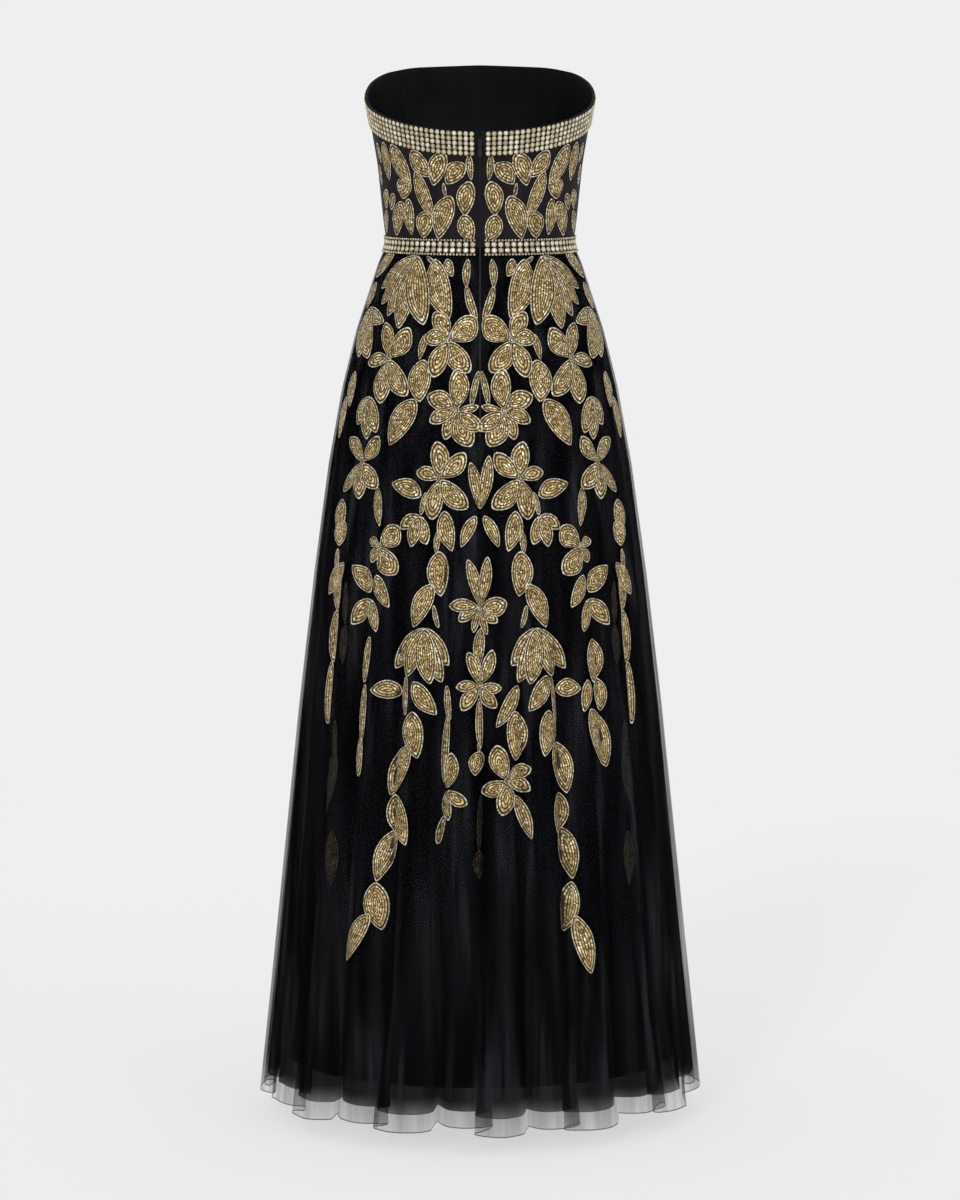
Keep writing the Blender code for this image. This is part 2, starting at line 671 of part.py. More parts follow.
def build_skirt(net, lining):
    top = -SEAM_GAP / 2
    sections = sorted(h * MM for h, *_ in SECTIONS if h < 0)
    columns = fold_columns()

    def flat_top(turn):
        return top

    def inside(turn, height):
        return height < top

    walls = gown_face(0.0), gown_face(-CLOTH)
    slot = ZIP_SLOT / girth_rate(0, ZIP_END / 2)
    back = [(c + math.pi) % FULL - math.pi for c in columns]
    back = [c for c in back if ZIP_MARGIN < abs(c) < SIDE_SEAM - SEAM_MARGIN]
    back = sorted([-NEAR_ZIP, NEAR_ZIP, *back])
    left, right = (upright(s * (SIDE_SEAM - SIDE_GAP), HEM, top, sections) for s in (-1, 1))
    loop = slotted_loop(left, right, back, flat_top, sections, slot)
    motifs = skirt_motifs(0.0)
    panel("overlay_back", net, loop, back, sections, inside, walls, motifs, GUIDED)
    first, last = SIDE_SEAM + SIDE_GAP, FULL - SIDE_SEAM - SIDE_GAP
    front = [c for c in columns if first + SEAM_MARGIN < c < last - SEAM_MARGIN]
    left, right = (upright(turn, HEM, top, sections) for turn in (first, last))
    loop = panel_loop(left, right, front, flat_top)
    motifs = skirt_motifs(math.pi)
    rows = sorted([*sections, FRONT_ROW])
    panel("overlay_front", net, loop, front, rows, inside, walls, motifs, GUIDED)

    # The two layers under the overlay
    half_seam = UNDER_SEAM / girth_rate(0, HEM)
    beside_tape = RECESS_FLAT / girth_rate(0, 0)
    marks = sorted(turn % FULL for turn, _ in MARKS)
    marks = [c for c in marks if TAPE_MARGIN < c < FULL - TAPE_MARGIN]

    def layer(name, finish, hem, turns, ends, face, depth, skips):
        rows = [z for z in sections[1:] if round(z / MM) not in skips]
        edges = []
        for end in ends:
            if end is None:
                side = 1 if not edges else -1
                edges.append(seam_edge(side, half_seam, slot, hem, top, rows))
            else:
                edges.append(upright(end, hem, top, rows))
        low, high = edges[0][0][0], edges[1][0][0]
        turns = [c for c in turns if low + SIDE_GAP < c < high - SIDE_GAP]
        walls = face(-depth), face(-depth - NET)
        loop = panel_loop(*edges, turns, flat_top)
        panel(name, finish, loop, turns, [hem, *rows], inside, walls, (), 0.0)

    turns = sorted([beside_tape, SIDE_SEAM, *marks, FULL - SIDE_SEAM, FULL - beside_tape])
    layer("tulle_underskirt", net, NET_HEM, turns, (None, None), net_face, NET_IN,
          UNDERSKIRT_SKIPS)
    turns = [beside_tape, *marks[::2], FULL - beside_tape]
    pieces = (
        ("skirt_lining_back_left", (None, SIDE_SEAM - SIDE_GAP)),
        ("skirt_lining_front", (first, last)),
        ("skirt_lining_back_right", (last + 2 * SIDE_GAP, None)),
    )
    for name, ends in pieces:
        layer(name, lining, LINING_HEM, turns, ends, skirt_lining_face, SKIRT_LINING_IN,
              LINING_SKIPS)


def build_bands(stones):
    def upper(turn):
        return top_edge(turn) - NECK_DROP

    def lower(turn):
        return upper(turn) - NECK_ROWS * NECK_STONE

    shares = [k / NECK_ROWS for k in range(NECK_ROWS + 1)]
    gap = NECK_GAP / girth_rate(0, SLIDER_HEIGHT)
    band("neckline_trim", stones, lower, upper, gap, NECK_COLUMNS, shares,
         range(NECK_ROWS), (0, NECK_ROWS))
    reach = WAIST_STONE + WAIST_EDGE
    heights = (-reach, -WAIST_STONE, 0, WAIST_STONE, reach)
    shares = [(h + reach) / (2 * reach) for h in heights]
    gap = WAIST_GAP / girth_rate(0, 0)
    band("waist_trim", stones, lambda turn: -reach, lambda turn: reach, gap, WAIST_COLUMNS,
         shares, (1, 2), (0, 2, 4))


def build_tape(finish):
    """A strip behind the zip's opening, from the top edge to the zip's end."""
    heights = [ZIP_END - TAPE_FOOT, *(h * MM for h in TAPE_ROWS), top_edge(0) - TAPE_DROP]
    outer, inner = gown_face(-CLOTH - TAPE_GAP), gown_face(-CLOTH - TAPE_GAP - TAPE)
    corners, faces = [], []
    for height in heights:
        rate = girth_rate(0, height)
        for face in (outer, inner):
            for across in (-TAPE_HALF, -ZIP_SLOT, ZIP_SLOT, TAPE_HALF):
                corners.append(face(across / rate, height))
    count = len(heights)
    for k in range(count - 1):
        a, b = 8 * k, 8 * k + 8
        for j in range(3):
            faces.append((a + j, a + j + 1, b + j + 1, b + j))
            faces.append((a + 4 + j, b + 4 + j, b + 5 + j, a + 5 + j))
        faces.append((a, b, b + 4, a + 4))
        faces.append((a + 3, a + 7, b + 7, b + 3))
    for a in (0, 8 * (count - 1)):
        for j in range(3):
            faces.append((a + j, a + 4 + j, a + 5 + j, a + 1 + j))
    return add_object("zip_tape", corners, faces, finish)


def prism(outline, thickness, axis):
    """A flat shape given thickness along axis, 'x' or 'y', about the middle."""
    corners = []
    for side in (-0.5, 0.5):
        for a, b in outline:
            along = side * thickness
            corners.append((along, a, b) if axis == "x" else (a, along, b))
    count = len(outline)
    faces = [tuple(range(count)), tuple(range(2 * count - 1, count - 1, -1))]
    for k in range(count):
        after = (k + 1) % count
        faces.append((k, after, count + after, count + k))
    return corners, faces


def apply_boolean(target, tool, operation):
    modifier = target.modifiers.new("join", "BOOLEAN")
    modifier.object = tool
    modifier.operation = operation
    graph = bpy.context.evaluated_depsgraph_get()
    result = bpy.data.meshes.new_from_object(target.evaluated_get(graph))
    target.modifiers.clear()
    target.data = result
    bpy.data.objects.remove(tool)


def zip_frame():
    """Where the slider sits: x across, y out of the cloth and z up along the zip."""
    low, high = (figure(0, SLIDER_HEIGHT + s * SLIDER_SPAN) for s in (-1, 1))
    up = (high - low).normalized()
    out = Vector((1, 0, 0)).cross(up) * -1
    turn = Matrix((Vector((1, 0, 0)), out, up)).transposed().to_4x4()
    return Matrix.Translation(figure(0, SLIDER_HEIGHT)) @ turn


def build_zip(metal):
    place = zip_frame()
    width, depth, height = SLIDER_SIZE
    face_out = SLIDER_OFF + depth
    axis_out = face_out + AXIS_OUT
    shield = [(x * width, z * height) for x, z in SLIDER_OUTLINE]
    slider = add_object("zip_slider", *prism(shield, depth, "y"), metal)
    middle_out = SLIDER_OFF + depth / 2
    slider.data.transform(Matrix.Translation((0, middle_out, 0)))
    reach = NECK_SHARE * height
    neck = [(-CLOTH, -reach), (middle_out, -reach), (middle_out, reach), (-CLOTH, reach)]
    apply_boolean(slider, add_object("neck", *prism(neck, NECK_WIDTH, "x"), metal), "UNION")
    arch = []
    for radius in (ARCH_OUTER, ARCH_INNER):
        arc = [(middle_out, -radius)]
        for k in range(ARCH_STEPS + 1):
            angle = math.pi * (k / ARCH_STEPS - 0.5)
            arc.append((axis_out + radius * math.cos(angle), radius * math.sin(angle)))
        arc.append((middle_out, radius))
        arch += arc if radius == ARCH_OUTER else reversed(arc)
    apply_boolean(slider, add_object("arch", *prism(arch, ARCH_WIDTH, "x"), metal), "UNION")
    slider.matrix_world = place

    wide, thick, long = PULL_SIZE
    side = [(PULL_TOP * wide, PULL_BAR)]
    side += [(x * wide, -down * long) for x, down in PULL_OUTLINE]
    drop = [(-x, z) for x, z in side] + [(0, PULL_BAR - long)] + side[::-1]
    pull = add_object("zip_pull", *prism(drop, thick, "y"), metal)
    half, hole_long = PULL_HOLE[0] / 2, PULL_HOLE[1]
    low = -PULL_BAR - hole_long
    hole = [(-half, -PULL_BAR), (half, -PULL_BAR), (half, low), (-half, low)]
    cutter = add_object("hole", *prism(hole, 4 * thick, "y"), metal)
    apply_boolean(pull, cutter, "DIFFERENCE")
    pull.location = place @ Vector((0, axis_out, 0))


def main():
    for old in list(bpy.data.objects):
        bpy.data.objects.remove(old)
    satin = material("black_satin", (0.012, 0.011, 0.014), 0.5)
    lining = material("black_lining", (0.008, 0.008, 0.01), 0.45)
    net = material("black_net_gold_applique", (0.02, 0.018, 0.016), 0.7)
    stones = material("pale_gold_stones", (0.78, 0.7, 0.5), 0.2, 0.6)
    tape = material("zip_tape_black", (0.01, 0.01, 0.012), 0.8)
    metal = material("dark_zip_metal", (0.12, 0.13, 0.15), 0.3, 1.0)
    build_bodice(satin, lining)
    build_skirt(net, lining)
    build_bands(stones)
    build_tape(tape)
    build_zip(metal)


main()
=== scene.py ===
"""The looks of a strapless a-line gown, seen from behind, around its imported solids."""
import math

import bpy
import numpy as np
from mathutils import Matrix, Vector


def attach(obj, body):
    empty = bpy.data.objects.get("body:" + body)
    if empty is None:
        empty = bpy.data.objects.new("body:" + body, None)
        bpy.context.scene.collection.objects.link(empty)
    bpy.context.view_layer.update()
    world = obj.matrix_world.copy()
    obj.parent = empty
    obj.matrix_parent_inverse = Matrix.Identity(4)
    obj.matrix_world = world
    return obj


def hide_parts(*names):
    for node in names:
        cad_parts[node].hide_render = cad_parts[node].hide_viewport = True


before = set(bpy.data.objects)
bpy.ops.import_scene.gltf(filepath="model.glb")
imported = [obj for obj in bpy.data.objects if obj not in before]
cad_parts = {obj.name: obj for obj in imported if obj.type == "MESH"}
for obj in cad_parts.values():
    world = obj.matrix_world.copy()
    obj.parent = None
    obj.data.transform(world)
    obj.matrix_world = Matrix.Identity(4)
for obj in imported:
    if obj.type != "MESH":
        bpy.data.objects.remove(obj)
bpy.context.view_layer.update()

MM = 0.001
FULL = 2 * math.pi
DEGREE = math.radians(1)
RNG = np.random.default_rng(7)

# ---------------------------------------------------------------- the figure, as in the part
# Height, half width, depth behind and depth before, in mm.
SECTIONS = (
    (224, 151.5, 118, 117), (176, 143.5, 112, 120), (140, 137.0, 105.5, 119),
    (100, 130.2, 99, 111), (60, 126.2, 95, 102), (25, 122.6, 93, 95), (0, 119.0, 92, 92),
    (-25, 130.0, 104, 98), (-60, 141.4, 118, 106), (-110, 158.0, 136, 119),
    (-180, 175.6, 155, 138), (-280, 194.0, 175, 161), (-420, 213.2, 194, 184),
    (-600, 234.0, 211, 204), (-1105, 284.5, 246, 243),
)
ROUNDING = (-6, -3, 0, 3, 6)  # mm, the sections are averaged over this much height
HEM = -1105 * MM
BUST_TURN = 27 * DEGREE
BUST_SPREAD = 19 * DEGREE
BUST_HEIGHT = 150 * MM
BUST_DEPTH = 5 * MM
BUST_END = 3  # spreads, past which the bust's form stops
# Height of the top edge in mm, by degrees from the centre back.
TOP_EDGE = (
    (0, 145), (20, 147), (40, 153), (60, 163), (80, 175),
    (95, 188), (110, 203), (125, 214), (145, 221), (180, 224),
)
EDGE_ROUNDING = (-4, 0, 4)  # degrees, the top edge is averaged over this much turn
# The skirt's valleys: degrees from the centre back, and depth in mm at the hem.
FOLDS = (
    (-1, 13), (12, 16), (27, 12), (43, 17), (57, 14), (76, 11),
    (93, 15), (109, 12), (127, 16), (141, 12), (160, 15), (177, 11),
    (194, 16), (213, 13), (229, 15), (247, 11), (264, 16), (286, 12),
    (303, 17), (319, 12), (335, 16), (347, 11),
)
FOLD_TOP = -130 * MM
FOLD_GROWTH = 1.25
CREST_SHARE = 0.3
PINCH = 0.7  # how much of a fold's curve is a wide crest with a pinched valley
PINCH_POWER = 3
DEEPER = 0.7  # at the hem, folds at the middle behind and before are deeper by this share
# Small creases on top of the folds. Columns: waves all round, depth in mm at the hem, phase.
RIPPLES = ((37, 0.7, 0.4), (53, 0.6, 2.1), (71, 0.45, 4.4), (89, 0.3, 1.3))
RIPPLE_TOP = -40 * MM
RIPPLE_GROWTH = 1.1
# How far a small crease wanders, how often it does so all round, and how much it slants.
WANDER, WANDER_WAVES, SLANT = 0.5, 3, 1.2
# How far each pipe's hem hangs above or below the others, in mm, from fold to fold.
HEM_STEPS = (7, -3, 4, -4, 5, 1, -3, 5, -2, 4, -4, 3, -3, 5, 0, -4, 4, -3, 6, -4, 2, -5)
HEM_STEP_FROM = 140 * MM
HEM_STEP_WIDTH = 1.2 * DEGREE
LAP = 4.2 * DEGREE
LAP_FROM = -925 * MM
LAP_POWER = 5
LAP_SCALE = 15.0  # brings the lap's curve, x (1 - x) ** LAP_POWER, to about 1 at its peak

CLOTH = 1.2 * MM
NET = 0.5 * MM
LINING_WALL = 0.8 * MM
HEM_ROLL = 3 * MM
HEM_RISE = 5 * MM
NET_STAND_OFF = 6 * MM
LINING_STAND_OFF = 27 * MM
LINING_DEEPER = 14 * MM  # and further in at the middle behind and before
LINING_GROWTH = 1.1
NET_HEM = HEM + 21 * MM
LINING_HEM = HEM + 46 * MM
ZIP_SLOT = 1.2 * MM
ZIP_END = -232 * MM
SEAM_GAP = 0.3 * MM
SIDE_SEAM = 90 * DEGREE
SIDE_GAP = 0.00006  # radians, so that the edges of a side seam all but touch
BACK_SIDE = SIDE_SEAM - SIDE_GAP
FRONT_SIDE = SIDE_SEAM + SIDE_GAP
# The inner layers give way behind the zip: how far, to what side, and how far past its end.
RECESS = 1.5 * MM
RECESS_FLAT = 14 * MM
RECESS_END = 24 * MM
RECESS_TAIL = 12 * MM
RECESS_FADE = 60 * MM


def smooth(share):
    share = np.clip(share, 0.0, 1.0)
    return share * share * (3 - 2 * share)


TABLE = np.array(SECTIONS[::-1], float)


def sections(height):
    """Half width, depth behind and depth before at heights, in metres."""
    mm = np.asarray(height) / MM
    found = []
    for k in (1, 2, 3):
        total = sum(np.interp(mm + shift, TABLE[:, 0], TABLE[:, k]) for shift in ROUNDING)
        found.append(total / len(ROUNDING) * MM)
    return found


def top_edge(turn):
    """Height of the bodice's top edge."""
    degrees = np.abs((np.degrees(turn) + 180) % 360 - 180)
    angles, heights = zip(*TOP_EDGE)
    total = sum(np.interp(np.clip(degrees + s, 0, 180), angles, heights) for s in EDGE_ROUNDING)
    return total / len(EDGE_ROUNDING) * MM


def figure(turn, height, out=0.0):
    """Points that lie a distance outside the figure, square to its section."""
    turn, height, out = np.broadcast_arrays(turn, height, out)
    half, behind, before = sections(height)
    depth = np.where(np.cos(turn) > 0, behind, before)
    nx, ny = np.sin(turn) / half, np.cos(turn) / depth
    length = np.hypot(nx, ny)
    nx, ny = nx / length, ny / length
    out = out.astype(float).copy()
    level = (height - BUST_HEIGHT) / (BUST_HEIGHT / 2)
    for side in (-1, 1):
        away = (turn % FULL - math.pi - side * BUST_TURN) / BUST_SPREAD
        bump = BUST_DEPTH * np.exp(-away * away - level * level)
        out += np.where((np.abs(away) < BUST_END) & (height > 0), bump, 0.0)
    x = half * np.sin(turn) + nx * out
    y = depth * np.cos(turn) + ny * out
    return np.stack([x, y, height], axis=-1)


def girth_rate(turn, height):
    """Metres round the figure for each radian of turn."""
    step = 0.01
    gap = figure(turn + step, height) - figure(turn - step, height)
    return np.linalg.norm(gap, axis=-1) / (2 * step)


def fold_marks():
    """Turns of the folds' valleys and crests, and how far each moves the cloth at the hem."""
    turns, moves = [], []
    for k, (turn, depth) in enumerate(FOLDS):
        after, after_depth = FOLDS[(k + 1) % len(FOLDS)]
        after += 360 if after < turn else 0
        turns += [math.radians(turn), math.radians((turn + after) / 2)]
        moves += [-depth * MM, CREST_SHARE * (depth + after_depth) / 2 * MM]
    turns.append(turns[0] + FULL)
    moves.append(moves[0])
    return np.array(turns), np.array(moves)


FOLD_TURNS, FOLD_MOVES = fold_marks()


def fold(turn, height):
    """How far the skirt's folds and small creases move its cloth outwards."""
    turn, height = np.broadcast_arrays(turn, height)
    grown = np.clip((FOLD_TOP - height) / (FOLD_TOP - HEM), 0, None) ** FOLD_GROWTH
    grown = grown * (1 + DEEPER * grown * np.cos(turn) ** 2)
    turn = (turn - FOLD_TURNS[0]) % FULL + FOLD_TURNS[0]
    k = np.clip(np.searchsorted(FOLD_TURNS, turn, side="right") - 1, 0, len(FOLD_TURNS) - 2)
    share = (turn - FOLD_TURNS[k]) / (FOLD_TURNS[k + 1] - FOLD_TURNS[k])
    # each pipe is wide at its crest and pinched where it meets the next one
    from_valley = np.where(FOLD_MOVES[k] < FOLD_MOVES[k + 1], share, 1 - share)
    risen = (1 - np.cos(math.pi * from_valley)) / 2
    risen = (1 - PINCH) * risen + PINCH * (1 - (1 - from_valley) ** PINCH_POWER)
    share = np.where(FOLD_MOVES[k] < FOLD_MOVES[k + 1], risen, 1 - risen)
    moved = (FOLD_MOVES[k] + (FOLD_MOVES[k + 1] - FOLD_MOVES[k]) * share) * grown
    lower = np.clip((RIPPLE_TOP - height) / (RIPPLE_TOP - HEM), 0, 1) ** RIPPLE_GROWTH
    for waves, depth, phase in RIPPLES:
        drift = WANDER * np.sin(WANDER_WAVES * turn + phase) + SLANT * height
        moved = moved + depth * MM * lower * np.sin(waves * turn + phase + drift)
    return moved


def lap(turn, height):
    """How far round each pipe laps over a neighbour near the hem, every second one backwards."""
    turn, height = np.broadcast_arrays(turn, height)
    valleys = FOLD_TURNS[::2]
    wound = (turn - valleys[0]) % FULL + valleys[0]
    k = np.clip(np.searchsorted(valleys, wound, side="right") - 1, 0, len(valleys) - 2)
    share = (wound - valleys[k]) / (valleys[k + 1] - valleys[k])
    hand = np.where(k % 2 == 0, 1.0, -1.0)
    share = np.where(hand > 0, share, 1 - share)
    low = smooth((LAP_FROM - height) / (LAP_FROM - HEM))
    return -hand * LAP * LAP_SCALE * share * (1 - share) ** LAP_POWER * low


def hem_step(turn):
    """How much higher than the mean each pipe's hem hangs."""
    turn = (turn - FOLD_TURNS[0]) % FULL + FOLD_TURNS[0]
    valleys = FOLD_TURNS[::2]
    k = np.clip(np.searchsorted(valleys, turn, side="right") - 1, 0, len(HEM_STEPS) - 1)
    into = smooth((turn - valleys[k]) / HEM_STEP_WIDTH)
    steps = np.array(HEM_STEPS) * MM
    return steps[k - 1] + (steps[k] - steps[k - 1]) * into


def recess(turn, height):
    """How far the inner layers give way behind the zip's tape."""
    turn = (turn + math.pi) % FULL - math.pi
    away = np.abs(turn) * girth_rate(0.0, height)
    side = 1 - smooth((away - RECESS_FLAT) / (RECESS_END - RECESS_FLAT))
    low = 1 - smooth((ZIP_END - RECESS_TAIL - height) / RECESS_FADE)
    return RECESS * side * low


def gown_place(turn, height, out):
    """Points of the bodice and the outer net."""
    return figure(turn + lap(turn, height), height, out + fold(turn, height))


def lined_place(turn, height, out):
    """Points of the bodice's lining."""
    return figure(turn, height, out - recess(turn, height))


def net_place(turn, height, out):
    """Points of the inner net."""
    hang = NET_STAND_OFF * np.clip(height / HEM, 0, None)
    out = out - recess(turn, height) - hang + fold(turn, height)
    return figure(turn + lap(turn, height), height, out)


def lining_place(turn, height, out):
    """Points of the skirt's lining."""
    hang = LINING_STAND_OFF + LINING_DEEPER * np.cos(turn) ** 2
    hang = hang * np.clip(height / HEM, 0, None) ** LINING_GROWTH
    return figure(turn, height, out - recess(turn, height) - hang)


# ---------------------------------------------------------------- materials
MIX_A, MIX_B, MIX_RESULT = 6, 7, 2  # a colour mix node's sockets
NEAR = 0.1  # row numbers closer than this count as the same
CLOTH_STREAKS = (0.35, 0.7)
WEAVE_DEPTH = 0.15 * MM
WEAVE_STRENGTH = 0.5
# The nets: their dark tone with lengthwise streaks of painted sheen, where over the hem they thin
# out, and the rolled hem edge.
NET_TONE_AND_SHEEN = (
    (0.38, (0.003, 0.003, 0.004)), (0.55, (0.008, 0.008, 0.010)), (0.72, (0.03, 0.031, 0.035)),
)
SHEER_FROM = 60 * MM
SHEER_TO = 260 * MM
LEAST_FILM = 0.05
EDGE_FROM = 0.55
EDGE_FILM = 0.55
# Tones of random beads and stones, whose palest stops are painted glints and highlights: where
# each starts, from 0 to 1, and its colour.
GOLD_TONES_AND_GLINTS = (
    (0.0, (0.12, 0.075, 0.02)), (0.25, (0.36, 0.24, 0.085)), (0.6, (0.55, 0.39, 0.16)),
    (0.86, (0.80, 0.62, 0.30)), (0.94, (1.0, 0.95, 0.72)),
)
PALE_TONES_AND_GLINTS = ((0.0, (0.26, 0.20, 0.11)), (0.5, (0.62, 0.52, 0.34)), (1.0, (1.0, 0.96, 0.82)))
STONE_TONES_AND_HIGHLIGHTS = (
    (0.0, (0.50, 0.42, 0.27)), (0.4, (0.66, 0.57, 0.39)), (0.8, (0.80, 0.72, 0.54)),
    (1.0, (0.95, 0.90, 0.76)),
)
# the dark thread and cloth, also painted shade between rows, between beads and in the trench
THREAD_AND_SHADE = (0.03, 0.02, 0.012)
# the colour of painted shade in a stone's groove and round its cup's foot
STONE_SHADE_TONE = (0.12, 0.09, 0.05)
# A bead's half width and half length, as shares of its cell, and how dark the thread and painted
# shade beside it are.
BEAD_HALF_WIDTH, SHADE_BESIDE_ROWS = 0.29, 0.97
BEAD_HALF_LENGTH, SHADE_BESIDE_BEADS = 0.45, 0.6
BEAD_DOME = 0.5 * MM
DOME_STRENGTH = 0.8
DOME_FALL = 4.0  # brings a dome down to nothing at a bead's ends, half a cell from its middle
# Roughness where the chance or the grain is 0, and how much it grows up to 1.
BEAD_ROUGHNESS = (0.42, -0.15)
STONE_ROUGHNESS = (0.22, 0.15)
GRAIN_ROUGHNESS = (-0.1, 0.25)  # beside the metal's own roughness
# how far a stone's groove and its cup's foot are darkened with painted shade
GROOVE_SHADE = 0.7
FOOT_SHADE = 0.6
GRAIN = 900
GRAIN_DEPTH = 0.03 * MM
GRAIN_STRENGTH = 0.4


class Finish:
    """One procedural material, and short names for the nodes that it is made of."""

    def __init__(self, name, colour, roughness, metallic=0.0, **values):
        self.made = bpy.data.materials.new(name)
        self.made.use_nodes = True
        self.tree = self.made.node_tree
        self.shader = self.tree.nodes["Principled BSDF"]
        self.set("Base Color", (*colour, 1.0))
        self.set("Roughness", roughness)
        self.set("Metallic", metallic)
        for key, value in values.items():
            self.set(key.replace("_", " "), value)

    def set(self, socket, value):
        self.shader.inputs[socket].default_value = value

    def drive(self, socket, value):
        self.link(value, self.shader.inputs[socket])

    def node(self, kind, **settings):
        node = self.tree.nodes.new(kind)
        for key, value in settings.items():
            setattr(node, key, value)
        return node

    def link(self, a, b):
        self.tree.links.new(a, b)

    def math(self, operation, a, b=None):
        """Each value is a number or a socket, and the second may be left out."""
        node = self.node("ShaderNodeMath", operation=operation)
        for k, value in enumerate((a, b)):
            if value is None:
                continue
            if isinstance(value, (int, float)):
                node.inputs[k].default_value = value
            else:
                self.link(value, node.inputs[k])
        return node.outputs[0]

    def near(self, a, b):
        """1 where two values are almost the same, and 0 elsewhere."""
        found = self.math("COMPARE", a, b)
        found.node.inputs[2].default_value = NEAR
        return found

    def from_middle(self, value):
        """How far a value is from the middle of its cell, 0 to 0.5."""
        return self.math("ABSOLUTE", self.math("SUBTRACT", self.math("FRACT", value), 0.5))

    def ramp(self, factor, stops):
        node = self.node("ShaderNodeValToRGB")
        bar = node.color_ramp
        while len(bar.elements) < len(stops):
            bar.elements.new(0.5)
        for element, (at, colour) in zip(bar.elements, stops):
            element.position = at
            element.color = (*colour, 1.0)
        self.link(factor, node.inputs[0])
        return node.outputs[0]

    def mix(self, factor, a, b):
        """Colour a where the factor is 0, b where it is 1. b is a socket or a plain colour."""
        node = self.node("ShaderNodeMix", data_type="RGBA")
        self.link(factor, node.inputs[0])
        self.link(a, node.inputs[MIX_A])
        if isinstance(b, tuple):
            node.inputs[MIX_B].default_value = (*b, 1.0)
        else:
            self.link(b, node.inputs[MIX_B])
        return node.outputs[MIX_RESULT]

    def between(self, value, start, end, first, last):
        """From first to last while the value goes from start to end."""
        node = self.node("ShaderNodeMapRange", clamp=True)
        self.link(value, node.inputs["Value"])
        for key, number in (("From Min", start), ("From Max", end), ("To Min", first),
                            ("To Max", last)):
            node.inputs[key].default_value = number
        return node.outputs[0]

    def uv(self):
        """The two coordinates of the rows map."""
        split = self.node("ShaderNodeSeparateXYZ")
        self.link(self.node("ShaderNodeUVMap", uv_map="rows").outputs[0], split.inputs[0])
        return split.outputs[0], split.outputs[1]

    def noise(self, scale, detail=2.0, stretch=(1, 1, 1)):
        where = self.node("ShaderNodeTexCoord").outputs["Object"]
        mapped = self.node("ShaderNodeMapping")
        mapped.inputs["Scale"].default_value = stretch
        self.link(where, mapped.inputs[0])
        made = self.node("ShaderNodeTexNoise")
        made.inputs["Scale"].default_value = scale
        made.inputs["Detail"].default_value = detail
        self.link(mapped.outputs[0], made.inputs["Vector"])
        return made.outputs["Fac"]

    def vary_roughness(self, factor, least, change):
        self.drive("Roughness", self.math("ADD", self.math("MULTIPLY", factor, change), least))

    def bump(self, height, distance, strength):
        node = self.node("ShaderNodeBump")
        node.inputs["Distance"].default_value = distance
        node.inputs["Strength"].default_value = strength
        self.link(height, node.inputs["Height"])
        self.drive("Normal", node.outputs[0])


def cloth_finish(name, dark, light, roughness, streak, weave, **values):
    """Woven cloth: lengthwise streaks in its colour and a fine weave in its surface."""
    made = Finish(name, dark, roughness, **values)
    stops = tuple(zip(CLOTH_STREAKS, (dark, light)))
    made.drive("Base Color", made.ramp(made.noise(*streak), stops))
    made.bump(made.noise(weave, 1.0), WEAVE_DEPTH, WEAVE_STRENGTH)
    return made.made


def tulle_finish(name, hem, rises, film, streak):
    """Fine net with lengthwise streaks of painted sheen in its colour. The film is how much it
    hides: at the hem, where it has risen and is gathered, how uneven it is, and high up, where a
    single layer is left."""
    made = Finish(name, (0.01, 0.01, 0.011), 0.9, Specular_IOR_Level=0.0)
    at_hem, gathered, uneven, single = film
    streaks = made.noise(*streak)
    # painted sheen: paler lengthwise streaks in the net's dark colour
    made.drive("Base Color", made.ramp(streaks, NET_TONE_AND_SHEEN))
    split = made.node("ShaderNodeSeparateXYZ")
    made.link(made.node("ShaderNodeTexCoord").outputs["Object"], split.inputs[0])
    height = split.outputs[2]
    denser = made.between(height, hem, hem + rises, at_hem, gathered)
    thinner = made.between(height, hem + SHEER_FROM, hem + SHEER_TO, 0.0, gathered - single)
    level = made.math("SUBTRACT", denser, thinner)
    change = made.math("MULTIPLY", made.math("SUBTRACT", streaks, 0.5), uneven)
    through = made.math("MAXIMUM", made.math("ADD", level, change), LEAST_FILM)
    edge = made.node("ShaderNodeAttribute", attribute_name="edge").outputs["Fac"]
    rolled = made.math("MULTIPLY", made.math("GREATER_THAN", edge, EDGE_FROM), EDGE_FILM)
    whole = made.math("MINIMUM", made.math("MAXIMUM", through, rolled), 1.0)
    made.drive("Alpha", whole)
    return made.made


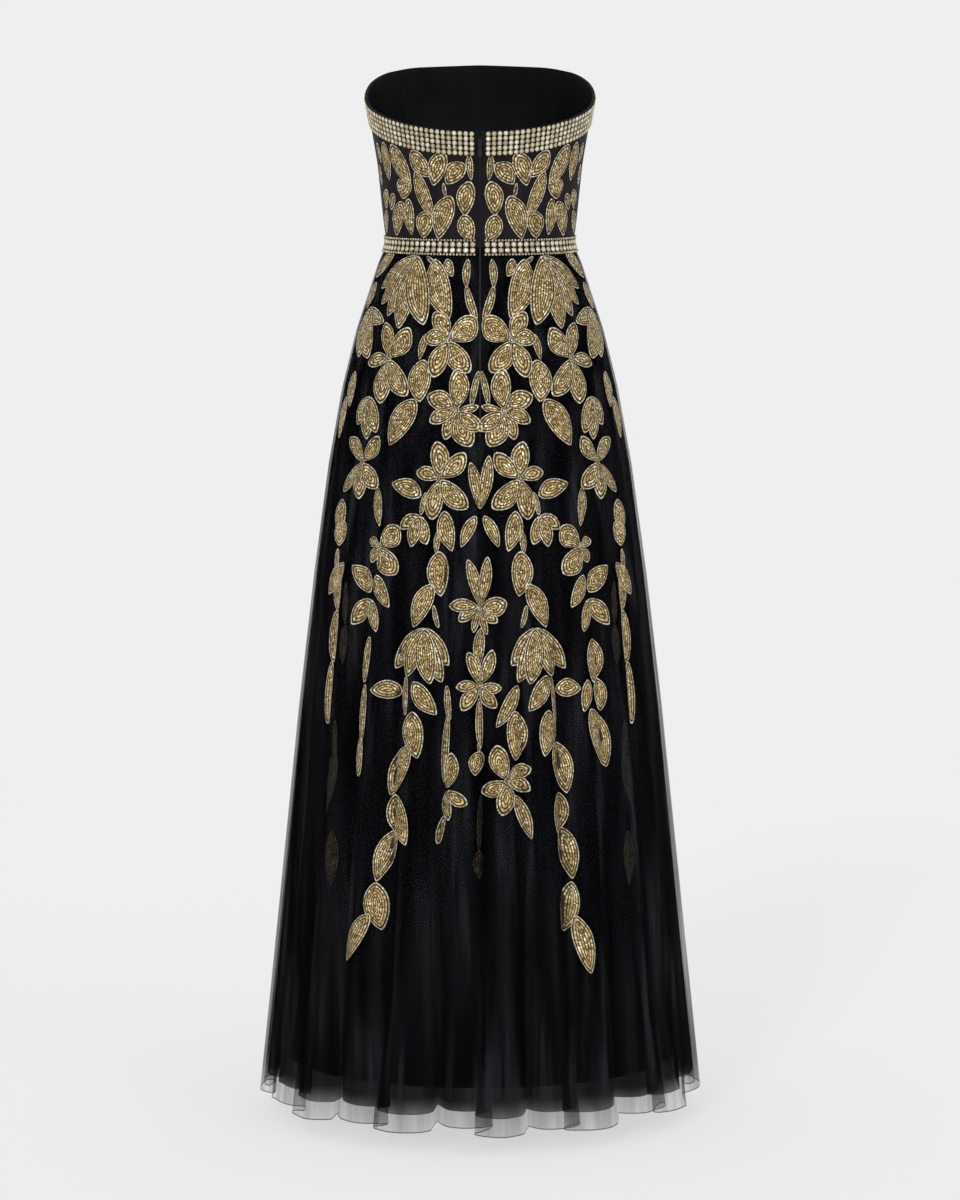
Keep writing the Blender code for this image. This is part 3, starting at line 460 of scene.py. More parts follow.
def bead_finish(name, shade=1.0):
    """Rows of small beads. U counts beads along a row; V counts rows from the outline in."""
    made = Finish(name, (0.5, 0.35, 0.13), 0.3, 0.7)

    def shaded(tones):
        return [(at, tuple(shade * c for c in colour)) for at, colour in tones]

    u, v = made.uv()
    row = made.math("FLOOR", v)
    cell = made.node("ShaderNodeCombineXYZ")
    made.link(made.math("FLOOR", u), cell.inputs[0])
    made.link(row, cell.inputs[1])
    random = made.node("ShaderNodeTexWhiteNoise", noise_dimensions="2D")
    made.link(cell.outputs[0], random.inputs["Vector"])
    chance = random.outputs["Value"]
    # the beads' random tones, the palest of them painted glints
    gold = made.ramp(chance, shaded(GOLD_TONES_AND_GLINTS))
    pale = made.ramp(chance, shaded(PALE_TONES_AND_GLINTS))
    beads = made.mix(made.math("LESS_THAN", row, 0.5), gold, pale)
    # dark thread and cloth with painted shade between rows and between beads, and all along the
    # second row
    along = made.from_middle(u)
    rows_gap = made.math("GREATER_THAN", made.from_middle(v), BEAD_HALF_WIDTH)
    beads_gap = made.math("GREATER_THAN", along, BEAD_HALF_LENGTH)
    across_dark = made.math("MAXIMUM", made.math("MULTIPLY", rows_gap, SHADE_BESIDE_ROWS),
                            made.near(row, 1.0))
    dark = made.math("MAXIMUM", across_dark, made.math("MULTIPLY", beads_gap, SHADE_BESIDE_BEADS))
    thread_and_shade_colour = tuple(shade * c for c in THREAD_AND_SHADE)
    made.drive("Base Color", made.mix(dark, beads, thread_and_shade_colour))
    made.vary_roughness(chance, *BEAD_ROUGHNESS)
    fall = made.math("MULTIPLY", made.math("POWER", along, 2.0), DOME_FALL)
    made.bump(made.math("SUBTRACT", 1.0, fall), BEAD_DOME, DOME_STRENGTH)
    return made.made


def stone_finish():
    """Pale gold cut stones. U numbers the stones, V the rings from the cup's foot to the table."""
    made = Finish("pale_gold_stones", (0.8, 0.7, 0.48), 0.3, 0.5)
    u, v = made.uv()
    random = made.node("ShaderNodeTexWhiteNoise", noise_dimensions="1D")
    made.link(made.math("FLOOR", u), random.inputs["W"])
    chance = random.outputs["Value"]
    groove = made.near(made.math("FLOOR", v), 2.0)
    foot = made.math("LESS_THAN", v, 1.0)
    # painted shade in the groove between cup and stone and round the cup's foot
    dark = made.math("MAXIMUM", made.math("MULTIPLY", groove, GROOVE_SHADE),
                     made.math("MULTIPLY", foot, FOOT_SHADE))
    # the stones' random tones, the palest of them painted highlights
    made.drive("Base Color", made.mix(dark, made.ramp(chance, STONE_TONES_AND_HIGHLIGHTS), STONE_SHADE_TONE))
    made.vary_roughness(chance, *STONE_ROUGHNESS)
    return made.made


def metal_finish(name, colour, roughness):
    """Metal with a fine grain."""
    made = Finish(name, colour, roughness, 1.0)
    grain = made.noise(GRAIN)
    less, more = GRAIN_ROUGHNESS
    made.vary_roughness(grain, roughness + less, more)
    made.bump(grain, GRAIN_DEPTH, GRAIN_STRENGTH)
    return made.made


SATIN = cloth_finish("bodice_satin", (0.0065, 0.0042, 0.0052), (0.014, 0.0095, 0.0115), 0.6,
                     (40, 2.0, (1, 1, 0.15)), 1600, Specular_IOR_Level=0.10)
LINING = cloth_finish("lining_satin", (0.0020, 0.0022, 0.0023), (0.0050, 0.0054, 0.0056), 0.45,
                      (25, 2.0, (1, 1, 0.08)), 1400, Specular_IOR_Level=0.08)
TULLE = tulle_finish("black_tulle", HEM, 45 * MM, (0.14, 0.32, 0.55, 0.28),
                     (55, 3.0, (1, 1, 0.035)))
UNDER_TULLE = tulle_finish("under_tulle", NET_HEM, 24 * MM, (0.42, 0.86, 0.4, 0.62),
                           (38, 2.0, (1, 1, 0.05)))
TAPE = cloth_finish("zip_tape", (0.003, 0.003, 0.0035), (0.006, 0.006, 0.007), 0.8,
                    (300, 1.0, (1, 1, 1)), 2600, Specular_IOR_Level=0.1)
COIL = cloth_finish("zip_coil", (0.005, 0.006, 0.008), (0.010, 0.012, 0.015), 0.4,
                    (500, 1.0, (1, 1, 1)), 2600, Specular_IOR_Level=0.4)
BEADS = bead_finish("gold_beads")
# a copy of the gold beads darkened with painted shade, for the beads behind the outer net
PAINTED_SHADE_BEADS = bead_finish("painted_shade_beads", 0.17)
STONES = stone_finish()
ZIP_METAL = metal_finish("dark_zip_metal", (0.03, 0.036, 0.045), 0.25)


# ---------------------------------------------------------------- meshes
SPLIT_FROM = 1.5  # steps


def add_mesh(name, points, faces, finish, uvs=None, crisp=40):
    """An object that rides with the gown. Edges sharper than crisp, in degrees, stay crisp."""
    mesh = bpy.data.meshes.new(name)
    mesh.from_pydata(np.asarray(points).tolist(), [], faces)
    if uvs is not None:
        layer = mesh.uv_layers.new(name="rows")
        layer.data.foreach_set("uv", np.asarray(uvs, float).ravel())
    mesh.shade_smooth()
    mesh.set_sharp_from_angle(angle=crisp * DEGREE)
    mesh.materials.append(finish)
    made = bpy.data.objects.new(name, mesh)
    bpy.context.scene.collection.objects.link(made)
    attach(made, "gown")
    return made


def shell(name, finish, turns, heights, place, out, wall, slot_rows=None, wrap=False,
          extra=None):
    """Thin cloth on a grid of heights, rows x columns. extra lifts its outer side. slot_rows is
    (column, row): the strip after that column has no cloth from that row up, for the zip."""
    rows, columns = heights.shape
    grid_turns = np.broadcast_to(turns, heights.shape)
    lift = 0.0 if extra is None else extra(grid_turns, heights)
    outer = place(grid_turns, heights, out + lift).reshape(-1, 3)
    inner = place(grid_turns, heights, out - wall).reshape(-1, 3)
    strips = columns if wrap else columns - 1
    filled = np.ones((rows - 1, strips), bool)
    if slot_rows is not None:
        column, open_row = slot_rows
        filled[open_row:, column] = False
    faces, edges = [], {}
    for r in range(rows - 1):
        for c in range(strips):
            if not filled[r, c]:
                continue
            d = (c + 1) % columns
            quad = (r * columns + c, r * columns + d, (r + 1) * columns + d,
                    (r + 1) * columns + c)
            faces.append(quad)
            for k in range(4):
                edges[quad[k], quad[(k + 1) % 4]] = True
    count = rows * columns
    solid = [f[::-1] for f in faces] + [tuple(count + k for k in f) for f in faces]
    for a, b in edges:
        if (b, a) not in edges:
            solid.append((a, b, count + b, count + a))
    made = add_mesh(name, np.vstack([outer, inner]), solid, finish)
    edge = made.data.attributes.new("edge", "FLOAT", "POINT")
    last = np.zeros((2, rows, columns))
    last[:, 0] = 1.0
    edge.data.foreach_set("value", last.ravel())
    return made


def declare(node):
    """Hides the imported solid that a sheet stands for."""
    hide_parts(node)


def spread(first, last, step):
    """Even values from first to last, about a step apart."""
    count = max(2, round(abs(last - first) / step))
    return np.linspace(first, last, count + 1)


def upright(turns, bottom, top, step):
    """Heights of a sheet's rows, bottom and top given for each column."""
    low, high = np.broadcast_to(bottom, turns.shape), np.broadcast_to(top, turns.shape)
    shares = spread(0.0, 1.0, step / float(np.mean(high - low)))
    return low + (high - low) * shares[:, None]


def level_rows(bottom, top, step, stops):
    """Heights from bottom to top that pass through the stops, split where they are far apart."""
    marks = [bottom, *sorted(s for s in stops if bottom < s < top), top]
    rows = [marks[0]]
    for a, b in zip(marks, marks[1:]):
        rows += list(spread(a, b, step)[1:]) if b - a > step * SPLIT_FROM else [b]
    return np.array(rows)


# ---------------------------------------------------------------- bodice
BODICE_COLUMN = 1.5 * DEGREE
BODICE_ROW = 6 * MM
BODICE_LEVEL = 130 * MM  # where the width of the zip's slot is measured
LINING_SEAMS = np.radians([48, 90, 139, 221, 270, 312])
NEAR_SEAM = (-0.5, -0.2, 0, 0.2, 0.5)  # degrees, extra columns beside each seam
SEAM_RIDGE = 0.5 * MM
SEAM_WIDTH = 0.25 * DEGREE
STITCH_RIDGE = 0.3 * MM
STITCH_WIDTH = 1.5 * MM
STITCHES_BELOW = 7 * MM
INNER_SIDE = -2 * MM


def sewn_place(turn, height, out):
    """Points of the lining, whose inner side has sewn seams and stitches below the edge."""
    seams = sum(np.exp(-((turn - s) / SEAM_WIDTH) ** 2) for s in LINING_SEAMS)
    stitches = np.exp(-((top_edge(turn) - height - STITCHES_BELOW) / STITCH_WIDTH) ** 2)
    deeper = (out < INNER_SIDE) * (SEAM_RIDGE * seams + STITCH_RIDGE * stitches)
    return lined_place(turn, height, out - deeper)


def build_bodice():
    slot = ZIP_SLOT / float(girth_rate(0.0, BODICE_LEVEL))
    pieces = (
        ("gown_back_left", slot, BACK_SIDE, "bodice_back_left", (0.22, 0.17)),
        ("gown_front", FRONT_SIDE, FULL - FRONT_SIDE, "bodice_front", (0.44, 0.22)),
        ("gown_back_right", FULL - BACK_SIDE, FULL - slot, "bodice_back_right", (0.22, 0.17)),
    )
    for name, first, last, node, flat in pieces:
        turns = spread(first, last, BODICE_COLUMN)
        heights = upright(turns, SEAM_GAP / 2, top_edge(turns), BODICE_ROW)
        made = shell(name, SATIN, turns, heights, gown_place, 0.0, CLOTH)
        declare(node)

    turns = spread(slot, FULL - slot, BODICE_COLUMN)
    near = np.concatenate([LINING_SEAMS + away * DEGREE for away in NEAR_SEAM])
    turns = np.unique(np.concatenate([turns, near]))
    heights = upright(turns, SEAM_GAP / 2, top_edge(turns), BODICE_ROW)
    made = shell("bodice_lining_cloth", LINING, turns, heights, sewn_place, -CLOTH - SEAM_GAP,
                 LINING_WALL)
    declare("bodice_lining")


# ---------------------------------------------------------------- skirt
NET_COLUMN = 0.75 * DEGREE
NET_ROW = 14 * MM
INNER_NET_COLUMN = 0.9 * DEGREE
INNER_NET_ROW = 20 * MM
INNER_NET_OUT = -1.5 * MM
INNER_NET_STEPPED = 0.8  # its hem's steps, as a share of the outer net's
LINING_COLUMN = 2 * DEGREE
LINING_ROW = 22 * MM
LINING_OUT = -2.8 * MM
LINING_SEAM = 0.01 * MM
TURNED_HEM = 18 * MM
TURNED_WALL = 0.5 * MM


def skirt_rows(hem, turns, step, stepped):
    """Levels of a layer's rows, and the rows' heights where its hem hangs in steps."""
    stops = [level * MM for level, *_ in SECTIONS] + [ZIP_END, hem + HEM_ROLL]
    rows = level_rows(hem, -SEAM_GAP / 2, step, stops)
    heights = np.repeat(rows[:, None], len(turns), axis=1)
    lowered = np.clip((hem + HEM_STEP_FROM - heights) / HEM_STEP_FROM, 0, 1)
    heights += lowered * (stepped * hem_step(turns) + HEM_RISE)
    return rows, heights


def turned_hem(_, height):
    """The lining's hem is turned up, so its wall is thicker there."""
    return TURNED_WALL * smooth((LINING_HEM + TURNED_HEM - height) / MM)


def zip_row(rows):
    """The first row that the zip's slot leaves open."""
    return int(np.argmin(np.abs(rows - ZIP_END)))


def build_nets(slot):
    right = spread(slot, BACK_SIDE, NET_COLUMN)
    turns = np.concatenate([-right[::-1], right])
    rows, heights = skirt_rows(HEM, turns, NET_ROW, 1.0)
    made = shell("tulle_back", TULLE, turns, heights, gown_place, 0.0, NET,
                 slot_rows=(len(right) - 1, zip_row(rows)))
    declare("overlay_back")

    turns = spread(FRONT_SIDE, FULL - FRONT_SIDE, NET_COLUMN)
    rows, heights = skirt_rows(HEM, turns, NET_ROW, 1.0)
    made = shell("tulle_front", TULLE, turns, heights, gown_place, 0.0, NET)
    declare("overlay_front")

    turns = spread(slot, FULL - slot, INNER_NET_COLUMN)
    rows, heights = skirt_rows(NET_HEM, turns, INNER_NET_ROW, INNER_NET_STEPPED)
    made = shell("skirt_under_net", UNDER_TULLE, turns, heights, net_place, INNER_NET_OUT, NET,
                 slot_rows=(len(turns) - 1, zip_row(rows)), wrap=True)
    declare("tulle_underskirt")


def build_skirt_lining(slot):
    seam = LINING_SEAM / float(girth_rate(0.0, HEM))
    pieces = (
        ("lining_back_left", seam, BACK_SIDE, "skirt_lining_back_left", (0.40, 1.06)),
        ("lining_front", FRONT_SIDE, FULL - FRONT_SIDE, "skirt_lining_front", (0.78, 1.06)),
        ("lining_back_right", FULL - BACK_SIDE, FULL - seam, "skirt_lining_back_right",
         (0.40, 1.06)),
    )
    for name, first, last, node, flat in pieces:
        turns = spread(first, last, LINING_COLUMN)
        rows, heights = skirt_rows(LINING_HEM, turns, LINING_ROW, 0.0)
        wide = np.where(heights > ZIP_END, slot, seam)
        grid = np.repeat(turns[None, :], len(rows), axis=0)
        if first == seam:
            grid[:, 0] = wide[:, 0]
        if last == FULL - seam:
            grid[:, -1] = FULL - wide[:, -1]
        made = shell(name, LINING, grid, heights, lining_place, LINING_OUT, LINING_WALL,
                     extra=turned_hem)
        declare(node)


def build_skirt():
    slot = ZIP_SLOT / float(girth_rate(0.0, ZIP_END / 2))
    build_nets(slot)
    build_skirt_lining(slot)


# ---------------------------------------------------------------- beadwork
# Leaves on both halves. Columns: across and height of the middle, length and width in mm, and
# lean in degrees from straight down, more than zero where the lower end is further out.
SKIRT_LEAVES = (
    (49, -51, 79, 33, -22), (60, -17, 22, 6, -58), (38, -25, 25, 14, -24),
    (16, -32, 37, 11, 1), (11, -68, 44, 11, -19), (121, -25, 44, 23, 39),
    (137, -64, 35, 21, 9), (73, -164, 53, 32, -1), (71, -122, 34, 11, 10),
    (6, -172, 44, 9, 12), (162, -181, 46, 22, -5), (174, -218, 54, 24, 3),
    (97, -216, 67, 33, 28), (92, -298, 45, 24, 108), (70, -315, 30, 8, 11),
    (40, -348, 52, 23, -13), (14, -348, 44, 16, 25), (53, -362, 32, 9, 3),
    (127, -322, 50, 15, -10), (176, -340, 45, 23, -1), (176, -361, 33, 25, 8),
    (181, -395, 30, 8, -4), (182, -418, 50, 22, 30), (181, -436, 48, 15, -2),
    (186, -491, 67, 17, -1), (194, -563, 80, 12, -1), (149, -413, 47, 26, 131),
    (122, -426, 46, 20, -30), (50, -401, 57, 28, -4), (71, -441, 60, 26, 22),
    (55, -454, 30, 7, -14),
)
LEFT_LEAVES = (
    (142, -513, 59, 12, 4), (147, -580, 72, 12, 0), (152, -636, 50, 13, 0),
    (118, -550, 46, 24, 88), (93, -554, 50, 8, -1), (69, -556, 52, 24, -37),
    (81, -602, 60, 29, -9), (101, -648, 71, 26, 21), (101, -710, 66, 30, -19),
    (119, -757, 70, 26, 18), (128, -821, 62, 31, -10), (155, -863, 75, 25, 29),
    (40, -561, 44, 10, -6), (43, -618, 86, 11, 3), (50, -721, 38, 10, 13),
)
RIGHT_LEAVES = (
    (143, -515, 56, 27, -3), (132, -557, 42, 19, -14), (151, -558, 43, 20, 4),
    (150, -612, 80, 31, 16), (111, -547, 33, 24, 90), (73, -550, 52, 23, -31),
    (93, -560, 60, 7, 4), (83, -600, 59, 26, -8), (103, -645, 67, 27, 10),
    (101, -702, 52, 21, -5), (111, -753, 67, 25, 9), (113, -821, 66, 23, -9),
    (129, -869, 77, 25, 12), (34, -565, 60, 19, -29), (44, -602, 63, 28, 0),
    (54, -704, 60, 18, 20),
)
# Flowers. Across and height of the heart in mm; then each petal's lean, length and width.
# A fan's petals lie on each other, the first on top.
SKIRT_FANS = (
    (77, -11, ((-15, 88, 30), (3, 91, 26), (17, 80, 24), (32, 74, 23), (49, 66, 22))),
    (140, -80, ((-26, 68, 32), (-8, 62, 28), (-71, 45, 20))),
    (137, -187, ((-22, 48, 23), (-4, 54, 24), (28, 42, 24))),
    (74, -330, ((15, 41, 20), (-16, 37, 20), (58, 33, 18))),
    (135, -438, ((-15, 41, 17), (43, 46, 25))),
    (68, -468, ((-7, 71, 26), (-18, 72, 24), (19, 66, 25), (-33, 56, 25), (36, 66, 24))),
)
SKIRT_FLOWERS = (
    (39, -113, ((145, 40, 24), (92, 32, 22), (19, 48, 25), (-34, 47, 27), (-129, 43, 32))),
    (113, -138, ((154, 47, 22), (-148, 44, 30), (-36, 55, 26), (4, 56, 28), (77, 38, 19))),
    (29, -199, ((179, 51, 27), (114, 42, 25), (66, 36, 20), (20, 38, 17), (-22, 47, 28),
                (-54, 39, 22), (-101, 27, 11))),
    (146, -268, ((126, 45, 21), (-148, 38, 22), (-42, 41, 24), (1, 46, 25), (40, 52, 16))),
    (50, -283, ((172, 45, 25), (-135, 44, 24), (-44, 50, 27), (9, 51, 24), (103, 31, 19))),
    (125, -370, ((-136, 35, 29), (-38, 42, 29), (106, 18, 14), (30, 24, 15))),
)
LEFT_FLOWERS = (
    (42, -669, ((-173, 46, 21), (-56, 31, 18), (-4, 38, 14))),
)
RIGHT_FLOWERS = (
    (33, -657, ((-165, 45, 26), (115, 34, 20), (66, 32, 19), (-8, 43, 24), (-62, 34, 21))),
)
CENTRE_FLOWERS = (
    (0, -322, ((168, 60, 16), (-170, 68, 17))),
    (0, -441, ((165, 60, 16), (-171, 62, 16), (91, 38, 18), (56, 31, 16), (-98, 33, 25),
               (14, 32, 10), (-14, 35, 10), (-48, 28, 15))),
    (0, -539, ((160, 44, 17), (-160, 47, 17), (86, 29, 15), (36, 37, 19), (-84, 26, 15),
               (-36, 33, 18))),
)
CENTRE_LEAVES = ((0, -492, 50, 15, 3), (0, -586, 64, 10, -1), (1, -616, 14, 5, -5),
                 (3, -636, 32, 20, 12))
# Beads on the inner net, behind the outer one, darkened with painted shade. Same columns as the
# leaves.
DIM_LEAVES = (
    (172, -447, 55, 15, -8), (174, -499, 50, 19, -1), (186, -620, 50, 13, -8),
    (193, -676, 80, 30, 12), (190, -769, 70, 24, -4),
)
DIM_CENTRE = ((0, -712, 70, 7, 2), (1, -764, 36, 13, -1))
BODICE_LEAVES = (
    (99, 103, 57, 25, -28), (74, 104, 42, 24, -36), (52, 98, 47, 25, 21), (31, 92, 36, 25, 42),
    (12, 100, 34, 10, -5), (16, 61, 45, 24, 8), (44, 71, 20, 6, -8), (45, 37, 59, 28, 19),
    (15, 24, 37, 23, -16), (69, 64, 67, 20, -20), (68, 28, 37, 25, 15), (94, 73, 30, 25, 18),
    (102, 34, 49, 22, 22), (88, 37, 47, 18, -1), (117, 106, 50, 19, -4), (110, 55, 24, 13, 20),
    (118, 58, 27, 15, 14), (118, 29, 32, 14, 18), (127, 116, 27, 10, -9), (125, 88, 28, 9, -7),
)
ROW_PITCH = 2.9 * MM
BEAD_PITCH = 1.9 * MM
OUTLINE_WIDTH = 1.7 * MM
TRENCH_WIDTH = 0.7 * MM
RIM_AT, TRENCH_AT = 0.35, 0.7  # shares of the outline and trench's width
LEAST_FILL = 0.3 * MM
# Points round a leaf or petal: at least so many, and about so far apart along its outline.
LEAST_POINTS = 14
POINT_PITCH = 5.2 * MM
OUTLINE_FACTOR = 1.05  # half an outline is this much of length and width together
# The line in a leaf's middle that its rows close in on: where it is, and how long.
MEDIAL_AT = 0.45
MEDIAL_LEAST = 0.12
MEDIAL_LOSS = 1.6
BEND = 0.10  # how far a leaf's middle bends sideways, as a share of its width
SIDEMOST = 0.99
# Each motif's beads are numbered on from another count, so no two look alike.
MOTIF_BEADS, MOTIF_CYCLE = 97.0, 53
# a place in the rows map with the dark thread colour and painted shade
THREAD_AND_SHADE_CELL = (0.5, 1.5)  # a place in the rows map that is dark
ROW_MARGIN = 1e-3  # keeps a strip's far edge within its own row
BEAD_CRISP = 75
# How far the beadwork's parts stand out from the cloth.
RISE_EDGE = 0.35 * MM
RISE_RIM = 1.05 * MM
RISE_TRENCH = 0.5 * MM
RISE_CREST = 0.95 * MM
RISE_VALLEY = 0.6 * MM
RISE_UNDER = 0.2 * MM
PETAL_LIFT = 0.45 * MM
PETAL_LAYERS = 3
PETAL_START = 1.5 * MM
HEART = 9.0 * MM
HEART_LIFT = 0.24 * MM
LEAST_PETALS = 4  # a flower with fewer has no heart
# Where a shape is widest and how full it is: exponents of its half width along its length.
LEAF_FORM = (0.84, 0.72)
STEM_FORM = (1.0, 0.4)
FAN_FORM = (0.95, 0.66)
PETAL_FORM = (1.16, 0.6)
HEART_FORM = (1.0, 0.5)
SLIM = 0.27  # a leaf less wide than this share of its length has a stem's form


class Beadwork:
    """Gathers many leaves and petals into one mesh on the gown's surface."""

    def __init__(self, place=gown_place, base=0.0):
        self.place, self.base = place, base
        self.points, self.faces, self.uvs = [], [], []
        self.count = 0
        self.motifs = 0

    def rings(self, half):
        """Depths in from the outline, rises, and the row and part of a row each strip shows."""
        inner = max(half - OUTLINE_WIDTH - TRENCH_WIDTH, LEAST_FILL)
        rows = max(1, round(inner / ROW_PITCH))
        pitch = inner / rows
        start = min(OUTLINE_WIDTH + TRENCH_WIDTH, half - inner)
        depths = [0, start * RIM_AT, start * TRENCH_AT, start]
        rises = [RISE_EDGE, RISE_RIM, RISE_TRENCH, RISE_TRENCH]
        strips = [(1, 0, 0.5), (1, 0.5, 1), (2, 1, 2)]
        for k in range(rows):
            depths += [start + (k + 0.5) * pitch, start + (k + 1) * pitch]
            rises += [RISE_CREST, RISE_VALLEY]
            crest = 4 + 2 * k
            strips += [(crest, k + 2, k + 2.5), (crest, k + 2.5, k + 3)]
        return 1 - np.array(depths) / half, np.array(rises), strips

    def add(self, spot, root, lean, length, width, form, lift=0.0):
        """One leaf or petal. spot is the middle's turn, side, across and height; root is the
        shape's upper end as (across, up) from there."""
        middle, side, across, height = spot
        half = width / 2
        shares, rises, strips = self.rings(half)
        count = 2 * round((length + width) * OUTLINE_FACTOR / POINT_PITCH)
        count = max(LEAST_POINTS, count)
        angle = np.arange(count) / count * FULL
        t = (1 - np.cos(angle)) / 2
        hand = np.where(angle < math.pi, 1.0, -1.0)
        profile = np.sin(math.pi * t ** form[0]).clip(0, 1) ** form[1]
        profile[0] = 0.0
        profile[count // 2] = 0.0
        medial = max(MEDIAL_LEAST, 1 - MEDIAL_LOSS * width / length)
        along = MEDIAL_AT + (t - MEDIAL_AT) * (medial + (1 - medial) * shares[:, None])
        a = length * along
        bend = BEND * width * np.sin(math.pi * along)
        b = half * shares[:, None] * (profile * hand) + bend
        cos, sin = math.cos(lean), math.sin(lean)
        x = root[0] + a * sin + b * cos
        y = root[1] - a * cos + b * sin
        half_here = float(sections(height)[0])
        start = middle + side * math.asin(min(across / half_here, SIDEMOST))
        turn = start + side * x / float(girth_rate(start, height))
        out = rises[:, None] + lift + self.base
        top = self.place(turn, height + y, out)
        rings = len(shares)
        under = [self.place(turn[k], height + y[k], self.base + RISE_UNDER)
                 for k in (0, rings // 2, rings - 1)]
        steps = np.linalg.norm(np.diff(top, axis=1, append=top[:, :1]), axis=-1)
        beads = np.concatenate([np.zeros((rings, 1)), np.cumsum(steps, axis=1)], axis=1)
        beads = beads / BEAD_PITCH + MOTIF_BEADS * (self.motifs % MOTIF_CYCLE) + 0.5
        self.points += [top.reshape(-1, 3)] + under
        first = self.count

        def quad(corners, uvs):
            """A face that looks outwards on either side of the gown."""
            step = -1 if side < 0 else 1
            self.faces.append(corners[::step])
            self.uvs += uvs[::step]

        for ring, (crest, low, high) in enumerate(strips):
            us = beads[crest]
            high -= ROW_MARGIN
            for k in range(count):
                p = first + ring * count + k
                q = first + ring * count + (k + 1) % count
                quad((p, q, q + count, p + count),
                     [(us[k], low), (us[k + 1], low), (us[k + 1], high), (us[k], high)])
        under_first = first + rings * count
        # the motif's sides and underside take the dark thread colour with painted shade
        dark = [THREAD_AND_SHADE_CELL] * 4
        for k in range(count):
            after = (k + 1) % count
            quad((first + after, first + k, under_first + k, under_first + after), dark)
            for ring in (0, 1):
                p = under_first + ring * count + k
                q = under_first + ring * count + after
                quad((q, p, p + count, q + count), dark)
        self.count += (rings + 3) * count
        self.motifs += 1

    def leaf(self, middle, side, row):
        """A leaf around its own middle."""
        across, height, length, width, lean = row
        angle = math.radians(lean)
        root = (-math.sin(angle) * length / 2 * MM, math.cos(angle) * length / 2 * MM)
        form = STEM_FORM if width < SLIM * length else LEAF_FORM
        spot = (middle, side, across * MM, height * MM)
        self.add(spot, root, angle, length * MM, width * MM, form)

    def flower(self, middle, side, row, fan=False):
        """Petals around a heart, or a fan of petals from one point."""
        across, height, petals = row
        spot = (middle, side, across * MM, height * MM)
        for k, (lean, length, width) in enumerate(petals):
            angle = math.radians(lean)
            start = 0.0 if fan else PETAL_START
            root = (start * math.sin(angle), -start * math.cos(angle))
            rank = len(petals) - 1 - k if fan else k % PETAL_LAYERS
            form = FAN_FORM if fan else PETAL_FORM
            self.add(spot, root, angle, length * MM, width * MM, form, PETAL_LIFT * rank)
        if not fan and len(petals) >= LEAST_PETALS:
            self.add(spot, (0, HEART / 2), 0.0, HEART, HEART, HEART_FORM,
                     2 * PETAL_LIFT + HEART_LIFT)

    def build(self, name, finish=BEADS):
        points = np.vstack(self.points)
        made = add_mesh(name, points, self.faces, finish, self.uvs, crisp=BEAD_CRISP)
        return made


def build_skirt_beads(name, middle):
    work = Beadwork()
    for side, leaves, flowers in ((1, LEFT_LEAVES, LEFT_FLOWERS),
                                  (-1, RIGHT_LEAVES, RIGHT_FLOWERS)):
        for row in SKIRT_LEAVES + leaves:
            work.leaf(middle, side, row)
        for row in SKIRT_FLOWERS + flowers:
            work.flower(middle, side, row)
        for row in SKIRT_FANS:
            work.flower(middle, side, row, fan=True)
    for row in CENTRE_FLOWERS:
        work.flower(middle, 1, row)
    for row in CENTRE_LEAVES:
        work.leaf(middle, 1, row)
    work.build(name)


def build_dim_beads():
    work = Beadwork(net_place, INNER_NET_OUT)
    for side in (1, -1):
        for row in DIM_LEAVES:
            work.leaf(0.0, side, row)
    for row in DIM_CENTRE:
        work.leaf(0.0, 1, row)
    work.build("beadwork_inner_net", PAINTED_SHADE_BEADS)


def build_bodice_beads(name, middle):
    work = Beadwork()
    for side in (1, -1):
        for row in BODICE_LEAVES:
            work.leaf(middle, side, row)
    work.build(name)


def build_beadwork():
    build_skirt_beads("beadwork_skirt_back", 0.0)
    build_skirt_beads("beadwork_skirt_front", math.pi)
    build_dim_beads()
    build_bodice_beads("beadwork_bodice_back", 0.0)
    build_bodice_beads("beadwork_bodice_front", math.pi)


# ---------------------------------------------------------------- bands of stones
BAND_OFF = 0.5 * MM
STRIP_WALL = 0.9 * MM
STRIP_COLUMN = 1.5 * DEGREE
SEAT = BAND_OFF + 0.85 * MM  # the stones' feet are let into the strip a little
NECK_BELOW = 0.5 * MM
NECK_ROW_STEP = 3 * MM
NECK_RADIUS = 0.455  # of a stone, as a share of its place in the row
NECK_STONE = 6.1 * MM
NECK_ROWS = 5
NECK_COLUMNS = 116
NECK_GAP = 6.5 * MM
WAIST_ROW_STEP = 2 * MM
WAIST_RADIUS = 0.44
WAIST_STONE = 7.0 * MM
WAIST_BEAD = 1.4 * MM
WAIST_EDGE = 3.3 * MM
WAIST_COLUMNS = 88
WAIST_GAP = 4.9 * MM
STONE_SIDES = 10
BEAD_SIDES = 6
TILT = 0.035  # how much the stones lean this way and that
STONE_CRISP = 12
# A cut stone in its cup, then a small round bead. Columns: share of the radius, rise in mm.
STONE = ((0.96, 0.0), (1.0, 0.9), (0.80, 1.3), (0.62, 0.95), (0.40, 1.45))
SMALL_BEAD = ((0.9, 0.0), (1.0, 0.6), (0.6, 1.3))


